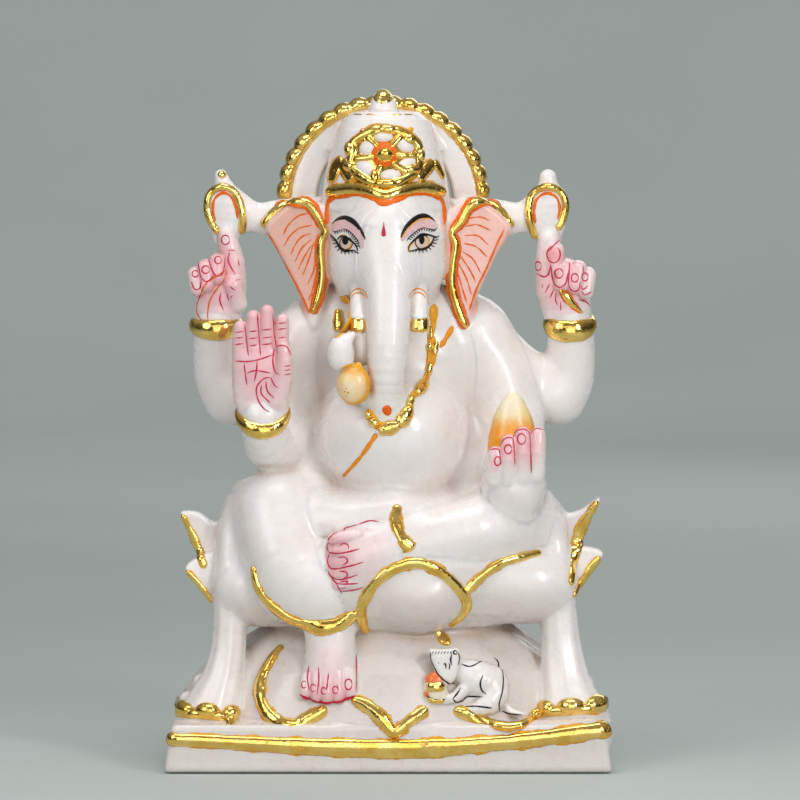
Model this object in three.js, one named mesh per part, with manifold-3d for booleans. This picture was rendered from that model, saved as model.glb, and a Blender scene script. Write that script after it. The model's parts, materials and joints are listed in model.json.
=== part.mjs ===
// A carved marble Ganesha, seated on a lotus over a rectangular plinth, with gilded carved trim.
// Millimetres, +Z up. The figure faces -Y. "right" and "left" are the figure's own, so right is -X.
// Each carved feature is its own solid. A small piece makes room for the larger ones it grows out of.
import * as THREE from "three";
import { mergeVertices } from "three/addons/utils/BufferGeometryUtils.js";
import Module from "manifold-3d";

const wasm = await Module();
wasm.setup();

// ---- Driving dimensions ----
const HEIGHT = 305;
const WIDTH = 201;
const DEPTH = 110;
const GAP = 0.3; // the clearance between a piece and the one it makes room for
const PLINTH_TOP = 22;
const SEAT_BOTTOM = 62.6;
const SEAT_TOP = 99;
const BAND_PROUD = 1; // how far the plinth's gilded band stands out of its front face
const RIM = 2.2; // half the width of a gilded petal rim
const HALO_X = -1.6;
const HALO_Z = 254;
const HALO_OUTER = 43;
const HALO_INNER = 30.5;
const HALO_BEADS = 18;
const CROWN_Y = -2;
const FOREHEAD_TOP = 257;

// ---- Finishes ----
const MARBLE = { color: 0xf2eeec, roughness: 0.28, metalness: 0 };
const GOLD = { color: 0xe0b040, roughness: 0.18, metalness: 1 };
const PINK = { color: 0xf2b6c2, roughness: 0.4, metalness: 0 };
const SWEET = { color: 0xf0a830, roughness: 0.45, metalness: 0 };
const ORANGE = { color: 0xf06018, roughness: 0.4, metalness: 0 };

// ---- Solids ----

// A closed three.js geometry as a solid.
function solidOf(geometry) {
  const bare = new THREE.BufferGeometry();
  bare.setAttribute("position", geometry.getAttribute("position"));
  bare.setIndex(geometry.index);
  const merged = mergeVertices(bare, 1e-4);
  const index = merged.index.array;
  const kept = [];
  for (let i = 0; i < index.length; i += 3) {
    const [a, b, c] = [index[i], index[i + 1], index[i + 2]];
    if (a !== b && b !== c && c !== a) kept.push(a, b, c);
  }
  return new wasm.Manifold(
    new wasm.Mesh({
      numProp: 3,
      vertProperties: merged.getAttribute("position").array,
      triVerts: new Uint32Array(kept),
    }),
  );
}

function join(...solids) {
  return solids.reduce((a, b) => a.add(b));
}

// An ellipsoid, turned about Y by tilt degrees.
function ball([x, y, z], [rx, ry, rz], grow = 0, { around = 12, rows = 8, tilt = 0 } = {}) {
  const geometry = new THREE.SphereGeometry(1, around, rows);
  geometry.scale(rx + grow, ry + grow, rz + grow);
  geometry.rotateY(THREE.MathUtils.degToRad(tilt));
  geometry.translate(x, y, z);
  return solidOf(geometry);
}

// A round limb through stations [x, y, z, radius]: a lathed rod with round ends, bent along the curve.
// up is the direction in which the section is deep times as thick.
function limb(stations, grow = 0, { around = 8, steps = 2, deep = 1, up = [0, 1, 0] } = {}) {
  const curve = new THREE.CatmullRomCurve3(stations.map(([x, y, z]) => new THREE.Vector3(x, y, z)));
  const last = stations.length - 1;
  const radiusAt = (t) => {
    const i = Math.min(last - 1, Math.floor(t * last));
    return THREE.MathUtils.lerp(stations[i][3], stations[i + 1][3], t * last - i) + grow;
  };
  const length = curve.getLength();
  const profile = [];
  const start = radiusAt(0);
  const end = radiusAt(1);
  for (const a of [0, 45].map(THREE.MathUtils.degToRad))
    profile.push(new THREE.Vector2(start * Math.sin(a), -start * Math.cos(a)));
  const rings = last * steps;
  for (let i = 0; i <= rings; i++)
    profile.push(new THREE.Vector2(radiusAt(i / rings), (length * i) / rings));
  for (const a of [45, 0].map(THREE.MathUtils.degToRad))
    profile.push(new THREE.Vector2(end * Math.sin(a), length + end * Math.cos(a)));
  const geometry = new THREE.LatheGeometry(profile, around);
  const position = geometry.getAttribute("position");
  const upward = new THREE.Vector3(...up);
  for (let i = 0; i < position.count; i++) {
    const along = position.getY(i);
    const t = THREE.MathUtils.clamp(along / length, 0, 1);
    const beyond = along - t * length;
    const tangent = curve.getTangent(t);
    const side = new THREE.Vector3().crossVectors(tangent, upward).normalize();
    const front = new THREE.Vector3().crossVectors(side, tangent);
    const point = curve
      .getPoint(t)
      .addScaledVector(tangent, beyond)
      .addScaledVector(side, position.getX(i))
      .addScaledVector(front, -position.getZ(i) * deep);
    position.setXYZ(i, point.x, point.y, point.z);
  }
  const made = solidOf(geometry);
  return made.volume() < 0 ? flipped(geometry) : made;
}

// The same geometry with its faces turned round.
function flipped(geometry) {
  const index = geometry.index.array;
  for (let i = 0; i < index.length; i += 3) [index[i], index[i + 1]] = [index[i + 1], index[i]];
  return solidOf(geometry);
}

// A turned solid about Z from [radius, z] pairs, bottom first, made deep times as deep as it is wide.
function turned([x, y], pairs, grow = 0, { around = 24, deep = 1 } = {}) {
  const [low, high] = [pairs[0][1], pairs[pairs.length - 1][1]];
  const profile = [new THREE.Vector2(0, low - grow)];
  for (const [r, z] of pairs) {
    const lift = z === low ? -grow : z === high ? grow : 0;
    profile.push(new THREE.Vector2(r + grow, z + lift));
  }
  profile.push(new THREE.Vector2(0, high + grow));
  const geometry = new THREE.LatheGeometry(profile, around);
  geometry.rotateX(Math.PI / 2);
  geometry.scale(1, deep, 1);
  geometry.translate(x, y, 0);
  return solidOf(geometry);
}

// An outline of [x, z] points as a shape, run anticlockwise.
function outlineOf(points) {
  return new THREE.Shape(points.map(([x, z]) => new THREE.Vector2(x, z)));
}

// A plate cut to a shape in x, z and thick from y = front to y = back.
function plate(shape, front, back, grow = 0) {
  const geometry = new THREE.ExtrudeGeometry(shape, {
    depth: back - front,
    bevelEnabled: grow > 0,
    bevelSize: grow,
    bevelThickness: grow,
    bevelSegments: 1,
    curveSegments: 14,
  });
  geometry.rotateX(Math.PI / 2);
  geometry.translate(0, back, 0);
  return solidOf(geometry);
}

// A ring of tube round a centre, its axis tipped forward by tip degrees.
function ring([x, y, z], [rx, ry], [tube, tall], grow = 0, tip = 0) {
  const geometry = new THREE.TorusGeometry(1, 0.1, 6, 14);
  const position = geometry.getAttribute("position");
  for (let i = 0; i < position.count; i++) {
    const [px, py, pz] = [position.getX(i), position.getY(i), position.getZ(i)];
    const out = Math.hypot(px, py);
    const bulge = ((out - 1) / 0.1) * (tube + grow);
    position.setXYZ(i, (px / out) * (rx + bulge), (py / out) * (ry + bulge), (pz / 0.1) * (tall + grow));
  }
  geometry.rotateX(THREE.MathUtils.degToRad(tip));
  geometry.translate(x, y, z);
  return solidOf(geometry);
}

// ---- Surfaces that trim lies on ----
const PEDESTAL = {
  deep: 0.58,
  pairs: [[84, PLINTH_TOP], [82, 34], [76, 46], [66, 55], [53, SEAT_BOTTOM]],
};
const SEAT = {
  deep: 0.6,
  pairs: [[52, SEAT_BOTTOM], [66, 66], [76, 74], [81, 84], [83, 94], [80, SEAT_TOP]],
};
const BELLY = { centre: [9, -14, 153], radii: [36.5, 28, 27] };
const CHEST = { centre: [3, 2, 184], radii: [44, 27, 34] };

// y of a turned surface's front at x, z.
function frontOfTurned({ deep, pairs }, x, z) {
  const found = pairs.findIndex(([, pz]) => pz >= z);
  const i = Math.max(1, found < 0 ? pairs.length - 1 : found);
  const [[r0, z0], [r1, z1]] = [pairs[i - 1], pairs[i]];
  const r = THREE.MathUtils.lerp(r0, r1, THREE.MathUtils.clamp((z - z0) / (z1 - z0), 0, 1));
  return -deep * Math.sqrt(Math.max(0, r * r - x * x));
}

// y of an ellipsoid's front at x, z, or its centre's where it doesn't reach.
function frontOfBall({ centre, radii }, x, z) {
  const left = 1 - ((x - centre[0]) / radii[0]) ** 2 - ((z - centre[2]) / radii[2]) ** 2;
  return centre[1] - radii[1] * Math.sqrt(Math.max(0, left));
}

// A rim of gilding along [x, z] points on a surface, whose front is frontAt(x, z).
function rim(points, frontAt, grow = 0, width = RIM) {
  return limb(points.map(([x, z]) => [x, frontAt(x, z), z, width]), grow, { around: 6, steps: 1 });
}

// A string of beads on a cord: bead and cord are their radii.
function beaded(places, [bead, cord], grow = 0) {
  const stations = [];
  places.forEach(([x, y, z], i) => {
    stations.push([x, y, z, bead]);
    const next = places[i + 1];
    if (next) stations.push([(x + next[0]) / 2, (y + next[1]) / 2, (z + next[2]) / 2, cord]);
  });
  return limb(stations, grow, { around: 5, steps: 1 });
}

const onSeat = (x, z) => frontOfTurned(SEAT, x, z);
const onPedestal = (x, z) => frontOfTurned(PEDESTAL, x, z);
const onChest = (x, z) => Math.min(frontOfBall(BELLY, x, z), frontOfBall(CHEST, x, z));

// ---- Pieces, smallest trim first and the masses it lies on last ----
const pieces = [];
function piece(name, finish, shape) {
  pieces.push({ name, finish, shape });
}

// The gilded scallop that runs over the petals of the lotus seat's front
const SEAT_RIM = [
  [-60.4, 91.4], [-58, 81], [-51, 72.5], [-42, 67], [-31, 64.6], [-20.8, 66], [-12.4, 71], [-10, 77], [-4.3, 86],
  [5, 92], [15, 93.2], [24.4, 88.7], [31, 81], [36, 80.4], [42, 87], [50, 92], [59, 95], [67, 96],
];
piece("seat_rim", GOLD, (g) => rim(SEAT_RIM, onSeat, g));

// The gilded scallop that runs over the petals of the pedestal's front
const PEDESTAL_RIM = [
  [-48.4, 54], [-56.2, 47], [-59.8, 39], [-58, 30], [-51, 24.6], [-41, 24.2], [-28, 28.5], [-17, 32], [-7.4, 26.8],
  [2, 24.4], [10, 25.2], [19, 29.6], [29, 28.6], [40, 25], [52.6, 24.4], [61, 25.4],
];
piece("pedestal_rim", GOLD, (g) => rim(PEDESTAL_RIM, onPedestal, g));

// The plinth's gilded band, sagging across its front
const BAND_RISE = [[-97, 13.5], [-60, 12], [0, 10.4], [40, 11.5], [70, 15], [96, 18]];
const BAND_HALF = 3.6;
piece("plinth_band", GOLD, (g) => {
  const stations = BAND_RISE.map(([x, z]) => [x, -DEPTH / 2 + BAND_PROUD, z, BAND_HALF]);
  return limb(stations, g, { deep: BAND_PROUD / BAND_HALF });
});

// The mouse at the pedestal's front, with the sweet it holds
piece("mouse_sweet", SWEET, (g) => ball([20.5, -46, 39], [4.6, 4.6, 6.6], g, { around: 10, rows: 8 }));
piece("mouse", MARBLE, (g) =>
  join(
    limb([[45, -39, 40, 10], [38, -41, 42, 8], [30, -42, 46, 5.6], [23, -44, 50, 4]], g),
    limb([[48, -40, 38, 8], [44, -42, 31, 6], [38, -43, 28.5, 3.4]], g),
    limb([[34, -44, 42, 3], [27, -46, 36, 2.4]], g),
    ball([28, -42, 52], [2.4, 2, 3.6], g, { around: 8, rows: 6 }),
  ),
);

// Gilded ends of the two draperies, three knobs in a row
const DRAPE_ENDS = {
  drape_trim_right: [[-91, -39, 27.4, 4.6], [-79.5, -42, 27, 5.2], [-69, -40.5, 26.4, 4]],
  drape_trim_left: [[71, -40.5, 28.4, 4.2], [81.5, -42, 29.6, 5.2], [93, -39, 31, 4.8]],
};
for (const [name, knobs] of Object.entries(DRAPE_ENDS))
  piece(name, GOLD, (g) =>
    join(
      limb(knobs.map(([x, y, z]) => [x, y, z, 2]), g, { around: 6, steps: 1 }),
      ...knobs.map(([x, y, z, r]) => ball([x, y, z], [r, r * 0.8, r], g, { around: 8, rows: 5 })),
    ),
  );

// Side petals of the lotus seat: outline and the y of their front
const UPPER_FRONT = -13;
const LOWER_FRONT = -21;
const PETAL_THICK = 12;
const SIDE_PETALS = {
  upper_petal_right: {
    front: UPPER_FRONT,
    outline: [[-70, 82], [-70, 108], [-79, 108], [-86, 114.5], [-93.5, 113.4], [-88, 99], [-81, 86]],
  },
  lower_petal_right: {
    front: LOWER_FRONT,
    outline: [[-68, 74], [-70, 90], [-80, 96], [-86, 94.5], [-91.6, 88.4], [-84, 79], [-77, 72]],
  },
  upper_petal_left: {
    front: UPPER_FRONT,
    outline: [[70, 82], [83, 84], [86.5, 98], [91, 112], [95.5, 119.4], [86, 114.5], [76, 118.5], [70, 112]],
  },
  lower_petal_left: {
    front: LOWER_FRONT,
    outline: [[68, 76], [83, 74], [90, 84], [97, 95], [89, 98], [82, 96], [72, 92]],
  },
};

// Ornaments: sash, necklace, bangles
piece("sash", GOLD, (g) => limb([[4.3, -42.4, 118.7, 2.5], [5.2, -46.6, 108, 2.7], [10, -49.6, 100, 2.9]], g));

const NECKLACE = [
  [20.6, 203], [20, 190.4], [21, 184], [18.6, 176.5], [15.4, 170],
  [9.6, 163.4], [7, 154.6], [1, 151], [-4, 152.6], [-7.4, 159],
];
piece("necklace", GOLD, (g) => beaded(NECKLACE.map(([x, z]) => [x, onChest(x, z), z]), [2.9, 1.4], g));
piece("bangle_front_right", GOLD, (g) => ring([-56.2, -32, 156.4], [10.6, 8.4], [1.9, 3], g, 22));
piece("bangle_rear_right", GOLD, (g) => ring([-78.2, 5, 196], [10.8, 9.6], [1.9, 4.3], g));
piece("bangle_rear_left", GOLD, (g) => ring([82.8, 5, 196], [10.8, 9.6], [1.9, 4.3], g));

// Emblems held by the rear hands: a gilded hoop on a marble backing
const HOOP_Y = -1.6;
const HOOPS = {
  emblem_hoop_right: [
    [-77.3, 239.4], [-81.3, 245.5], [-82.4, 252.2], [-80, 258.4], [-74.6, 260.9],
    [-69, 258.6], [-66.2, 252.2], [-65.8, 244.4], [-66.4, 239],
  ],
  emblem_hoop_left: [
    [68, 237.4], [65.6, 243.4], [64.4, 250], [66, 256.4], [71.5, 260.4],
    [77.4, 258.3], [80, 253], [79.2, 246.4], [77, 242],
  ],
};
for (const [name, points] of Object.entries(HOOPS)) piece(name, GOLD, (g) => rim(points, () => HOOP_Y, g, 1.9));

// Crown ornaments: a wheel of six spokes round the jewel, with a leaf on each side, over the brow band
const WHEEL = { x: -1.5, y: -20.6, z: 275, rx: 14.6, rz: 11, tube: 1.9 };
const SPOKES = 6;
const SPOKE = 1.4;
const HUB = 4;
piece("crown_jewel", ORANGE, (g) => ball([WHEEL.x, -25.4, WHEEL.z], [5.2, 3, 5.2], g));
piece("crown_rosette", GOLD, (g) => {
  const { x, y, z, rx, rz, tube } = WHEEL;
  const hoop = new THREE.TorusGeometry(1, 0.1, 4, 12);
  const position = hoop.getAttribute("position");
  for (let i = 0; i < position.count; i++) {
    const [px, py, pz] = [position.getX(i), position.getY(i), position.getZ(i)];
    const out = Math.hypot(px, py);
    const bulge = ((out - 1) / 0.1) * (tube + g);
    position.setXYZ(i, (px / out) * (rx + bulge), (pz / 0.1) * -(tube + g), (py / out) * (rz + bulge));
  }
  hoop.translate(x, y, z);
  const thin = { around: 4, steps: 1 };
  const spokes = Array.from({ length: SPOKES }, (_, k) => {
    const a = ((k + 0.5) * 2 * Math.PI) / SPOKES;
    const [c, s] = [Math.cos(a), Math.sin(a)];
    return limb([[x + HUB * c, y - 1, z + HUB * s, SPOKE], [x + rx * c, y, z + rz * s, SPOKE]], g, thin);
  });
  const leaves = [-1, 1].map((side) => {
    const reach = [[14, -19.6, 272, 1.6], [20, -15, 267, 1.8], [24, -10, 271, 1.8]];
    return limb(reach.map(([out, ...rest]) => [side * out - 1, ...rest]), g, thin);
  });
  return join(solidOf(hoop), ...spokes, ...leaves);
});
piece("crown_band", GOLD, (g) => ring([-1, CROWN_Y, 260], [27.4, 23], [2, 3.6], g));
piece("halo_beads", GOLD, (g) => {
  const places = Array.from({ length: HALO_BEADS }, (_, k) => {
    const a = ((k + 0.5) * Math.PI) / HALO_BEADS;
    return [HALO_X + HALO_OUTER * Math.cos(a), 12, HALO_Z + HALO_OUTER * Math.sin(a)];
  });
  return beaded(places, [4, 2.4], g);
});

// Sweets held by the trunk and by the front left hand
piece("trunk_sweet", SWEET, (g) => ball([-15.7, -45.6, 173], [7.6, 6.6, 8.8], g, { tilt: 10 }));
const HAND_SWEET = [[9.6, 138], [11.6, 144], [10.6, 151], [7.6, 159], [4, 166], [1, 169.2]];
piece("hand_sweet", SWEET, (g) => turned([56, -35.4], HAND_SWEET, g, { around: 10, deep: 0.82 }));

// Tusks and their gilded caps
for (const [side, x] of [["right", -13.2], ["left", 13.8]]) {
  const upright = { steps: 1, up: [1, 0, 0] };
  const root = [[x * 0.95, -22, 217, 4.4], [x * 0.98, -31, 210.4, 4.3], [x, -36, 205, 4.1]];
  piece(`tusk_cap_${side}`, GOLD, (g) => limb([[x, -37.2, 202, 4.4], [x, -38.6, 199, 4.4]], g, upright));
  piece(`tusk_${side}`, MARBLE, (g) => limb(root, g, upright));
}

// The trunk, down the middle and curled to the figure's right round the sweet
const TRUNK = [
  [-0.5, -24, 236, 12], [-0.3, -33, 220, 10.6], [0, -39, 205, 9.6], [-0.5, -42, 190, 9.6], [-1, -43, 178, 8.6],
  [-4.4, -42, 169, 6.6], [-13, -39, 168, 5], [-21, -41, 176, 5], [-22, -44.4, 186, 5.6], [-16.4, -41.4, 194, 3.4],
];
piece("trunk", MARBLE, (g) => limb(TRUNK, g));

// Hands
function fingers(list, grow, deep = 1) {
  return list.map((stations) => limb(stations, grow, { around: 6, steps: 1, deep }));
}
const BLESSING_FINGERS = [[-66.3, 200], [-60.9, 205], [-54.4, 208], [-48.5, 204.6]];
const BLESSING_PALM = [[-56, -32.4, 159, 9], [-56.4, -33.4, 170, 12.6], [-56.6, -34, 182, 12.4]];
piece("front_right_hand", PINK, (g) =>
  join(
    limb(BLESSING_PALM, g, { deep: 0.42, around: 10 }),
    ...fingers(BLESSING_FINGERS.map(([x, top]) => [[x * 0.99, -33.6, 180, 3.3], [x, -35, top - 3, 3]]), g),
    ...fingers([[[-47.6, -36, 174, 4], [-46.6, -38.4, 187, 3.2]]], g),
  ),
);
const SWEET_FINGERS = [[47.6, 141.4], [53.3, 146.4], [59.8, 150.2], [66.8, 150.6]];
piece("front_left_hand", PINK, (g) =>
  join(
    limb([[57, -34, 131, 10], [57.4, -38, 138, 12.6]], g, { deep: 0.55, steps: 2 }),
    ...fingers(SWEET_FINGERS.map(([x, top]) => [[x, -43, 134, 3.4], [x, -44.6, top, 3.2]]), g),
  ),
);
const FISTS = {
  rear_right_hand: {
    x: -78.6,
    side: -1,
    index: [[-71.6, 2, 222, 5], [-69.6, 1, 231, 4.6], [-71.4, 1.4, 236.4, 3.8]],
  },
  rear_left_hand: {
    x: 82,
    side: 1,
    index: [[74.6, 2, 222, 5], [72.4, 1, 231, 4.8], [73.8, 1.4, 236.4, 4]],
  },
};
const FOLDED_FINGERS = [[-1, 224], [5.4, 222.6], [11, 220]]; // how far out from the wrist, and the knuckle's z
for (const [name, { x, side, index }] of Object.entries(FISTS))
  piece(name, PINK, (g) => {
    const folded = FOLDED_FINGERS.map(([out, z]) => {
      const across = x + side * out;
      return [[across, -5, z - 8, 3.6], [across, -4, z + 2.6, 3.8]];
    });
    const palm = [[x, 5, 201, 9], [x - side * 0.6, 4, 211, 11.4], [x - side, 3, 220, 11]];
    return join(limb(palm, g, { deep: 0.8 }), ...fingers([...folded, index], g));
  });

// Feet: one hanging in front of the pedestal, one lying across the lap
const STANDING_TOES = [[-36, 34.4], [-31.2, 33], [-26.6, 32], [-22, 32.2], [-16.8, 34]];
piece("right_foot", PINK, (g) =>
  join(
    limb([[-26, -40, 61.4, 11.4], [-26, -42, 50, 11.4], [-26.4, -43, 40, 11.6]], g, { deep: 0.62 }),
    ...fingers(STANDING_TOES.map(([x, z]) => [[x, -45, z + 7, 2.8], [x, -46.4, z, 2.7]]), g),
  ),
);
const LYING_TOES = [104, 98.4, 92.8, 87.4, 82.8];
piece("left_foot", PINK, (g) =>
  join(
    limb([[4, -40, 101, 9], [-8, -43, 97, 11.6], [-16, -43.6, 94.4, 12]], g, { deep: 0.62 }),
    ...fingers(LYING_TOES.map((z, k) => [[-14, -44.4, z, 3], [-23.4 + 0.8 * k, -45, z, 3 - 0.15 * k]]), g),
  ),
);

// Arms, each an upper arm and a forearm that meet at the elbow
function bent(upper, lower, grow) {
  return join(limb(upper, grow, { steps: 1 }), limb(lower, grow, { steps: 1 }));
}
const ARMS = {
  front_right_arm: {
    upper: [[-37, 0, 192, 13.6], [-45, -3, 172, 13], [-51, -11, 147, 12.6]],
    lower: [[-51, -11, 147, 12.4], [-55.4, -28, 148, 10]],
  },
  front_left_arm: {
    upper: [[46, 0, 192, 13.6], [53, -2, 172, 13.4], [58, -8, 148, 12.6]],
    lower: [[58, -8, 148, 12.4], [57, -30, 130, 11]],
  },
  rear_right_arm: {
    upper: [[-42, 8, 188, 13.6], [-58, 9, 175, 13], [-72, 9, 166, 12.4]],
    lower: [[-72, 9, 166, 12.2], [-78.2, 5, 192, 10]],
  },
  rear_left_arm: {
    upper: [[47, 8, 190, 13.6], [62, 9, 176, 12.8], [77, 9, 166, 12.4]],
    lower: [[77, 9, 166, 12.2], [82.8, 5, 192, 10]],
  },
};
for (const [name, { upper, lower }] of Object.entries(ARMS)) piece(name, MARBLE, (g) => bent(upper, lower, g));

// The emblems' marble backings, with the bridges of stone that tie them to the head
for (const [side, x, stub] of [["right", -74, -76], ["left", 73.4, 72.4]])
  piece(`emblem_back_${side}`, MARBLE, (g) =>
    join(
      ball([x, 3, 249.4], [9.8, 5.2, 13.4], g),
      limb([[x, 3, 258, 4], [stub, 3, 265.4, 3.4]], g, { steps: 1 }),
      limb([[x * 0.9, 5, 247, 7], [x * 0.7, 5, 247, 8.6], [x * 0.5, 5, 247, 9]], g, { deep: 0.7 }),
    ),
  );

// Ears: fans with a gilded rolled edge. Their points are the left ear's, and the right ear mirrors it
const EAR_FRONT = -14.4;
const EAR_BACK = -8.6;
const EAR = [
  [27.4, 246], [33, 252.4], [41, 251.4], [48, 247.6], [54, 240.8], [48.4, 232.6],
  [43.8, 223.6], [38.2, 210.6], [34, 200.6], [29.4, 206], [27.4, 216], [26.6, 230],
];
const EAR_EDGE = [
  [54, 240.6], [48, 248.4], [39, 253], [32, 249.4], [28.6, 239], [26.7, 230], [28, 215], [30.4, 205], [34, 199],
];
for (const [side, sign] of [["right", -1], ["left", 1]]) {
  const edge = EAR_EDGE.map(([x, z]) => [x * sign, z]);
  const fan = EAR.map(([x, z]) => [x * sign, z]);
  piece(`ear_rim_${side}`, GOLD, (g) => rim(edge, () => EAR_FRONT - 1, g, 1.8));
  piece(`ear_${side}`, PINK, (g) => plate(outlineOf(fan), EAR_FRONT, EAR_BACK, g));
}

// Crown, head and halo
const FINIAL = [[7.2, 295.4], [6.4, 298], [4.4, 302], [2.2, 304.2], [0.8, HEIGHT]];
const CROWN = [[28, FOREHEAD_TOP], [27.6, 264], [24.8, 273], [22.6, 280], [20.2, 287], [16, 295]];
piece("finial", MARBLE, (g) => turned([-2.4, 0], FINIAL, g, { around: 12 }));
piece("crown", MARBLE, (g) => turned([-1, CROWN_Y], CROWN, g, { around: 16, deep: 0.84 }));
piece("head", MARBLE, (g) => join(ball([-0.5, -4, 240], [27, 23, 27], g), ball([-0.5, -13, 221], [22, 18, 19], g)));
piece("halo", MARBLE, (g) => {
  const foot = 8; // how far the arch's legs run below its centre
  const arch = new THREE.Shape();
  arch.moveTo(HALO_X + HALO_OUTER, HALO_Z - foot);
  arch.lineTo(HALO_X + HALO_OUTER, HALO_Z);
  arch.absarc(HALO_X, HALO_Z, HALO_OUTER, 0, Math.PI, false);
  arch.lineTo(HALO_X - HALO_OUTER, HALO_Z - foot);
  arch.lineTo(HALO_X - HALO_INNER, HALO_Z - foot);
  arch.lineTo(HALO_X - HALO_INNER, HALO_Z);
  arch.absarc(HALO_X, HALO_Z, HALO_INNER, Math.PI, 0, true);
  arch.lineTo(HALO_X + HALO_INNER, HALO_Z - foot);
  return plate(arch, 8, 16, g);
});

// Body
piece("belly", MARBLE, (g) => ball(BELLY.centre, BELLY.radii, g, { around: 16, rows: 10 }));
const LEGS = {
  right_leg: {
    upper: [[-24, 8, 114, 16], [-50, -22, 114, 18]],
    lower: [[-49, -23, 112, 17.6], [-42, -30, 90, 16], [-31, -32, 70, 11]],
  },
  left_leg: {
    upper: [[24, 8, 113, 16], [60, -17, 110, 17.6]],
    lower: [[58, -19, 109, 17], [30, -33, 104, 13], [8, -36, 102, 11]],
  },
};
for (const [name, { upper, lower }] of Object.entries(LEGS)) piece(name, MARBLE, (g) => bent(upper, lower, g));
piece("torso", MARBLE, (g) =>
  join(
    ball(CHEST.centre, CHEST.radii, g),
    ball([4, 12, 148], [42, 23, 38], g),
    limb([[-32, 7, 196, 15], [42, 7, 197, 15]], g, { steps: 1 }),
    ball([2, -9, 113], [56, 34, 16], g),
  ),
);
const DRAPES = {
  drape_right: [
    [-62, -6, 126, 6], [-68, -14, 115, 6.6], [-70.6, -21, 98, 7], [-71, -24, 76, 7.2],
    [-71.6, -25, 58, 7.6], [-73.2, -27, 45, 9], [-76.6, -29, 35, 11.6], [-79.4, -30, 26, 13.8],
  ],
  drape_left: [
    [66, -6, 122, 6], [72, -14, 112, 6.4], [75.4, -20, 98, 6.6], [76.3, -23, 76, 7.6],
    [77.4, -25, 58, 8.8], [79, -27, 45, 10.6], [81, -29, 35, 13], [83, -30, 27, 14.6],
  ],
};
for (const [name, stations] of Object.entries(DRAPES)) piece(name, MARBLE, (g) => limb(stations, g, { deep: 0.8 }));
for (const [name, { outline, front }] of Object.entries(SIDE_PETALS))
  piece(name, MARBLE, (g) => plate(outlineOf(outline), front, front + PETAL_THICK, g));
piece("lotus_seat", MARBLE, (g) => turned([0, 0], SEAT.pairs, g, { around: 24, deep: SEAT.deep }));
piece("pedestal", MARBLE, (g) => turned([0, 0], PEDESTAL.pairs, g, { around: 24, deep: PEDESTAL.deep }));
piece("plinth", MARBLE, (g) => {
  const [w, front, back, r] = [WIDTH / 2, -DEPTH / 2 + BAND_PROUD, DEPTH / 2, 5];
  const shape = new THREE.Shape();
  shape.moveTo(-w + r, front);
  shape.lineTo(w - r, front);
  shape.absarc(w - r, front + r, r, -Math.PI / 2, 0, false);
  shape.absarc(w - r, back - r, r, 0, Math.PI / 2, false);
  shape.absarc(-w + r, back - r, r, Math.PI / 2, Math.PI, false);
  shape.absarc(-w + r, front + r, r, Math.PI, 1.5 * Math.PI, false);
  return solidOf(new THREE.ExtrudeGeometry(shape, { depth: PLINTH_TOP, bevelEnabled: false, curveSegments: 5 }));
});

// ---- Cut each piece to make room for the masses it lies on ----
function meet(a, b) {
  const [p, q] = [a.boundingBox(), b.boundingBox()];
  return [0, 1, 2].every((i) => p.min[i] < q.max[i] && q.min[i] < p.max[i]);
}

function largest(solid) {
  return solid.decompose().reduce((a, b) => (a.volume() > b.volume() ? a : b));
}

function geometryOf(solid) {
  const { vertProperties, triVerts } = solid.getMesh();
  const geometry = new THREE.BufferGeometry();
  geometry.setAttribute("position", new THREE.BufferAttribute(vertProperties, 3));
  geometry.setIndex(new THREE.BufferAttribute(triVerts, 1));
  return geometry;
}

// ---- Group the pieces by where they stand ----
const idol = new THREE.Group();
const SECTIONS = [
  { z: 0, starts: ["plinth", "pedestal", "mouse", "drape"] },
  { z: SEAT_BOTTOM, starts: ["lotus", "seat", "upper_petal", "lower_petal"] },
  { z: HALO_Z, starts: ["head", "trunk", "tusk", "ear", "crown", "finial", "halo"] },
  { z: SEAT_TOP, starts: [""] },
];
for (const section of SECTIONS) {
  section.group = new THREE.Group();
  section.group.position.z = section.z;
  idol.add(section.group);
}

const rooms = [];
for (const { name, finish, shape } of pieces.reverse()) {
  const whole = shape(0);
  const cutters = rooms.filter((room) => meet(room, whole));
  const solid = largest(cutters.reduce((left, room) => left.subtract(room), whole));
  rooms.push(shape(GAP));
  const { group } = SECTIONS.find(({ starts }) => starts.some((start) => name.startsWith(start)));
  const geometry = geometryOf(solid);
  geometry.computeBoundingBox();
  const centre = geometry.boundingBox.getCenter(new THREE.Vector3());
  geometry.translate(-centre.x, -centre.y, -centre.z);
  const mesh = new THREE.Mesh(geometry, new THREE.MeshStandardMaterial(finish));
  mesh.name = name;
  mesh.position.copy(centre).sub(group.position);
  group.add(mesh);
}

export default idol;
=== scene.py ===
"""A carved marble Ganesha on a lotus seat, with gold leaf, pink washes and painted lines.

Every piece of stone is sculpted as a distance field in millimetres: rounded solids melt into one
another with a fillet, and each CAD node's share of that field becomes a mesh of its own. The gold
and the painted lines are swept over the finished surface.
"""

import json
import math

import bpy
import numpy as np
import openvdb
from mathutils import Euler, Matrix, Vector
from mathutils.bvhtree import BVHTree


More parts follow.
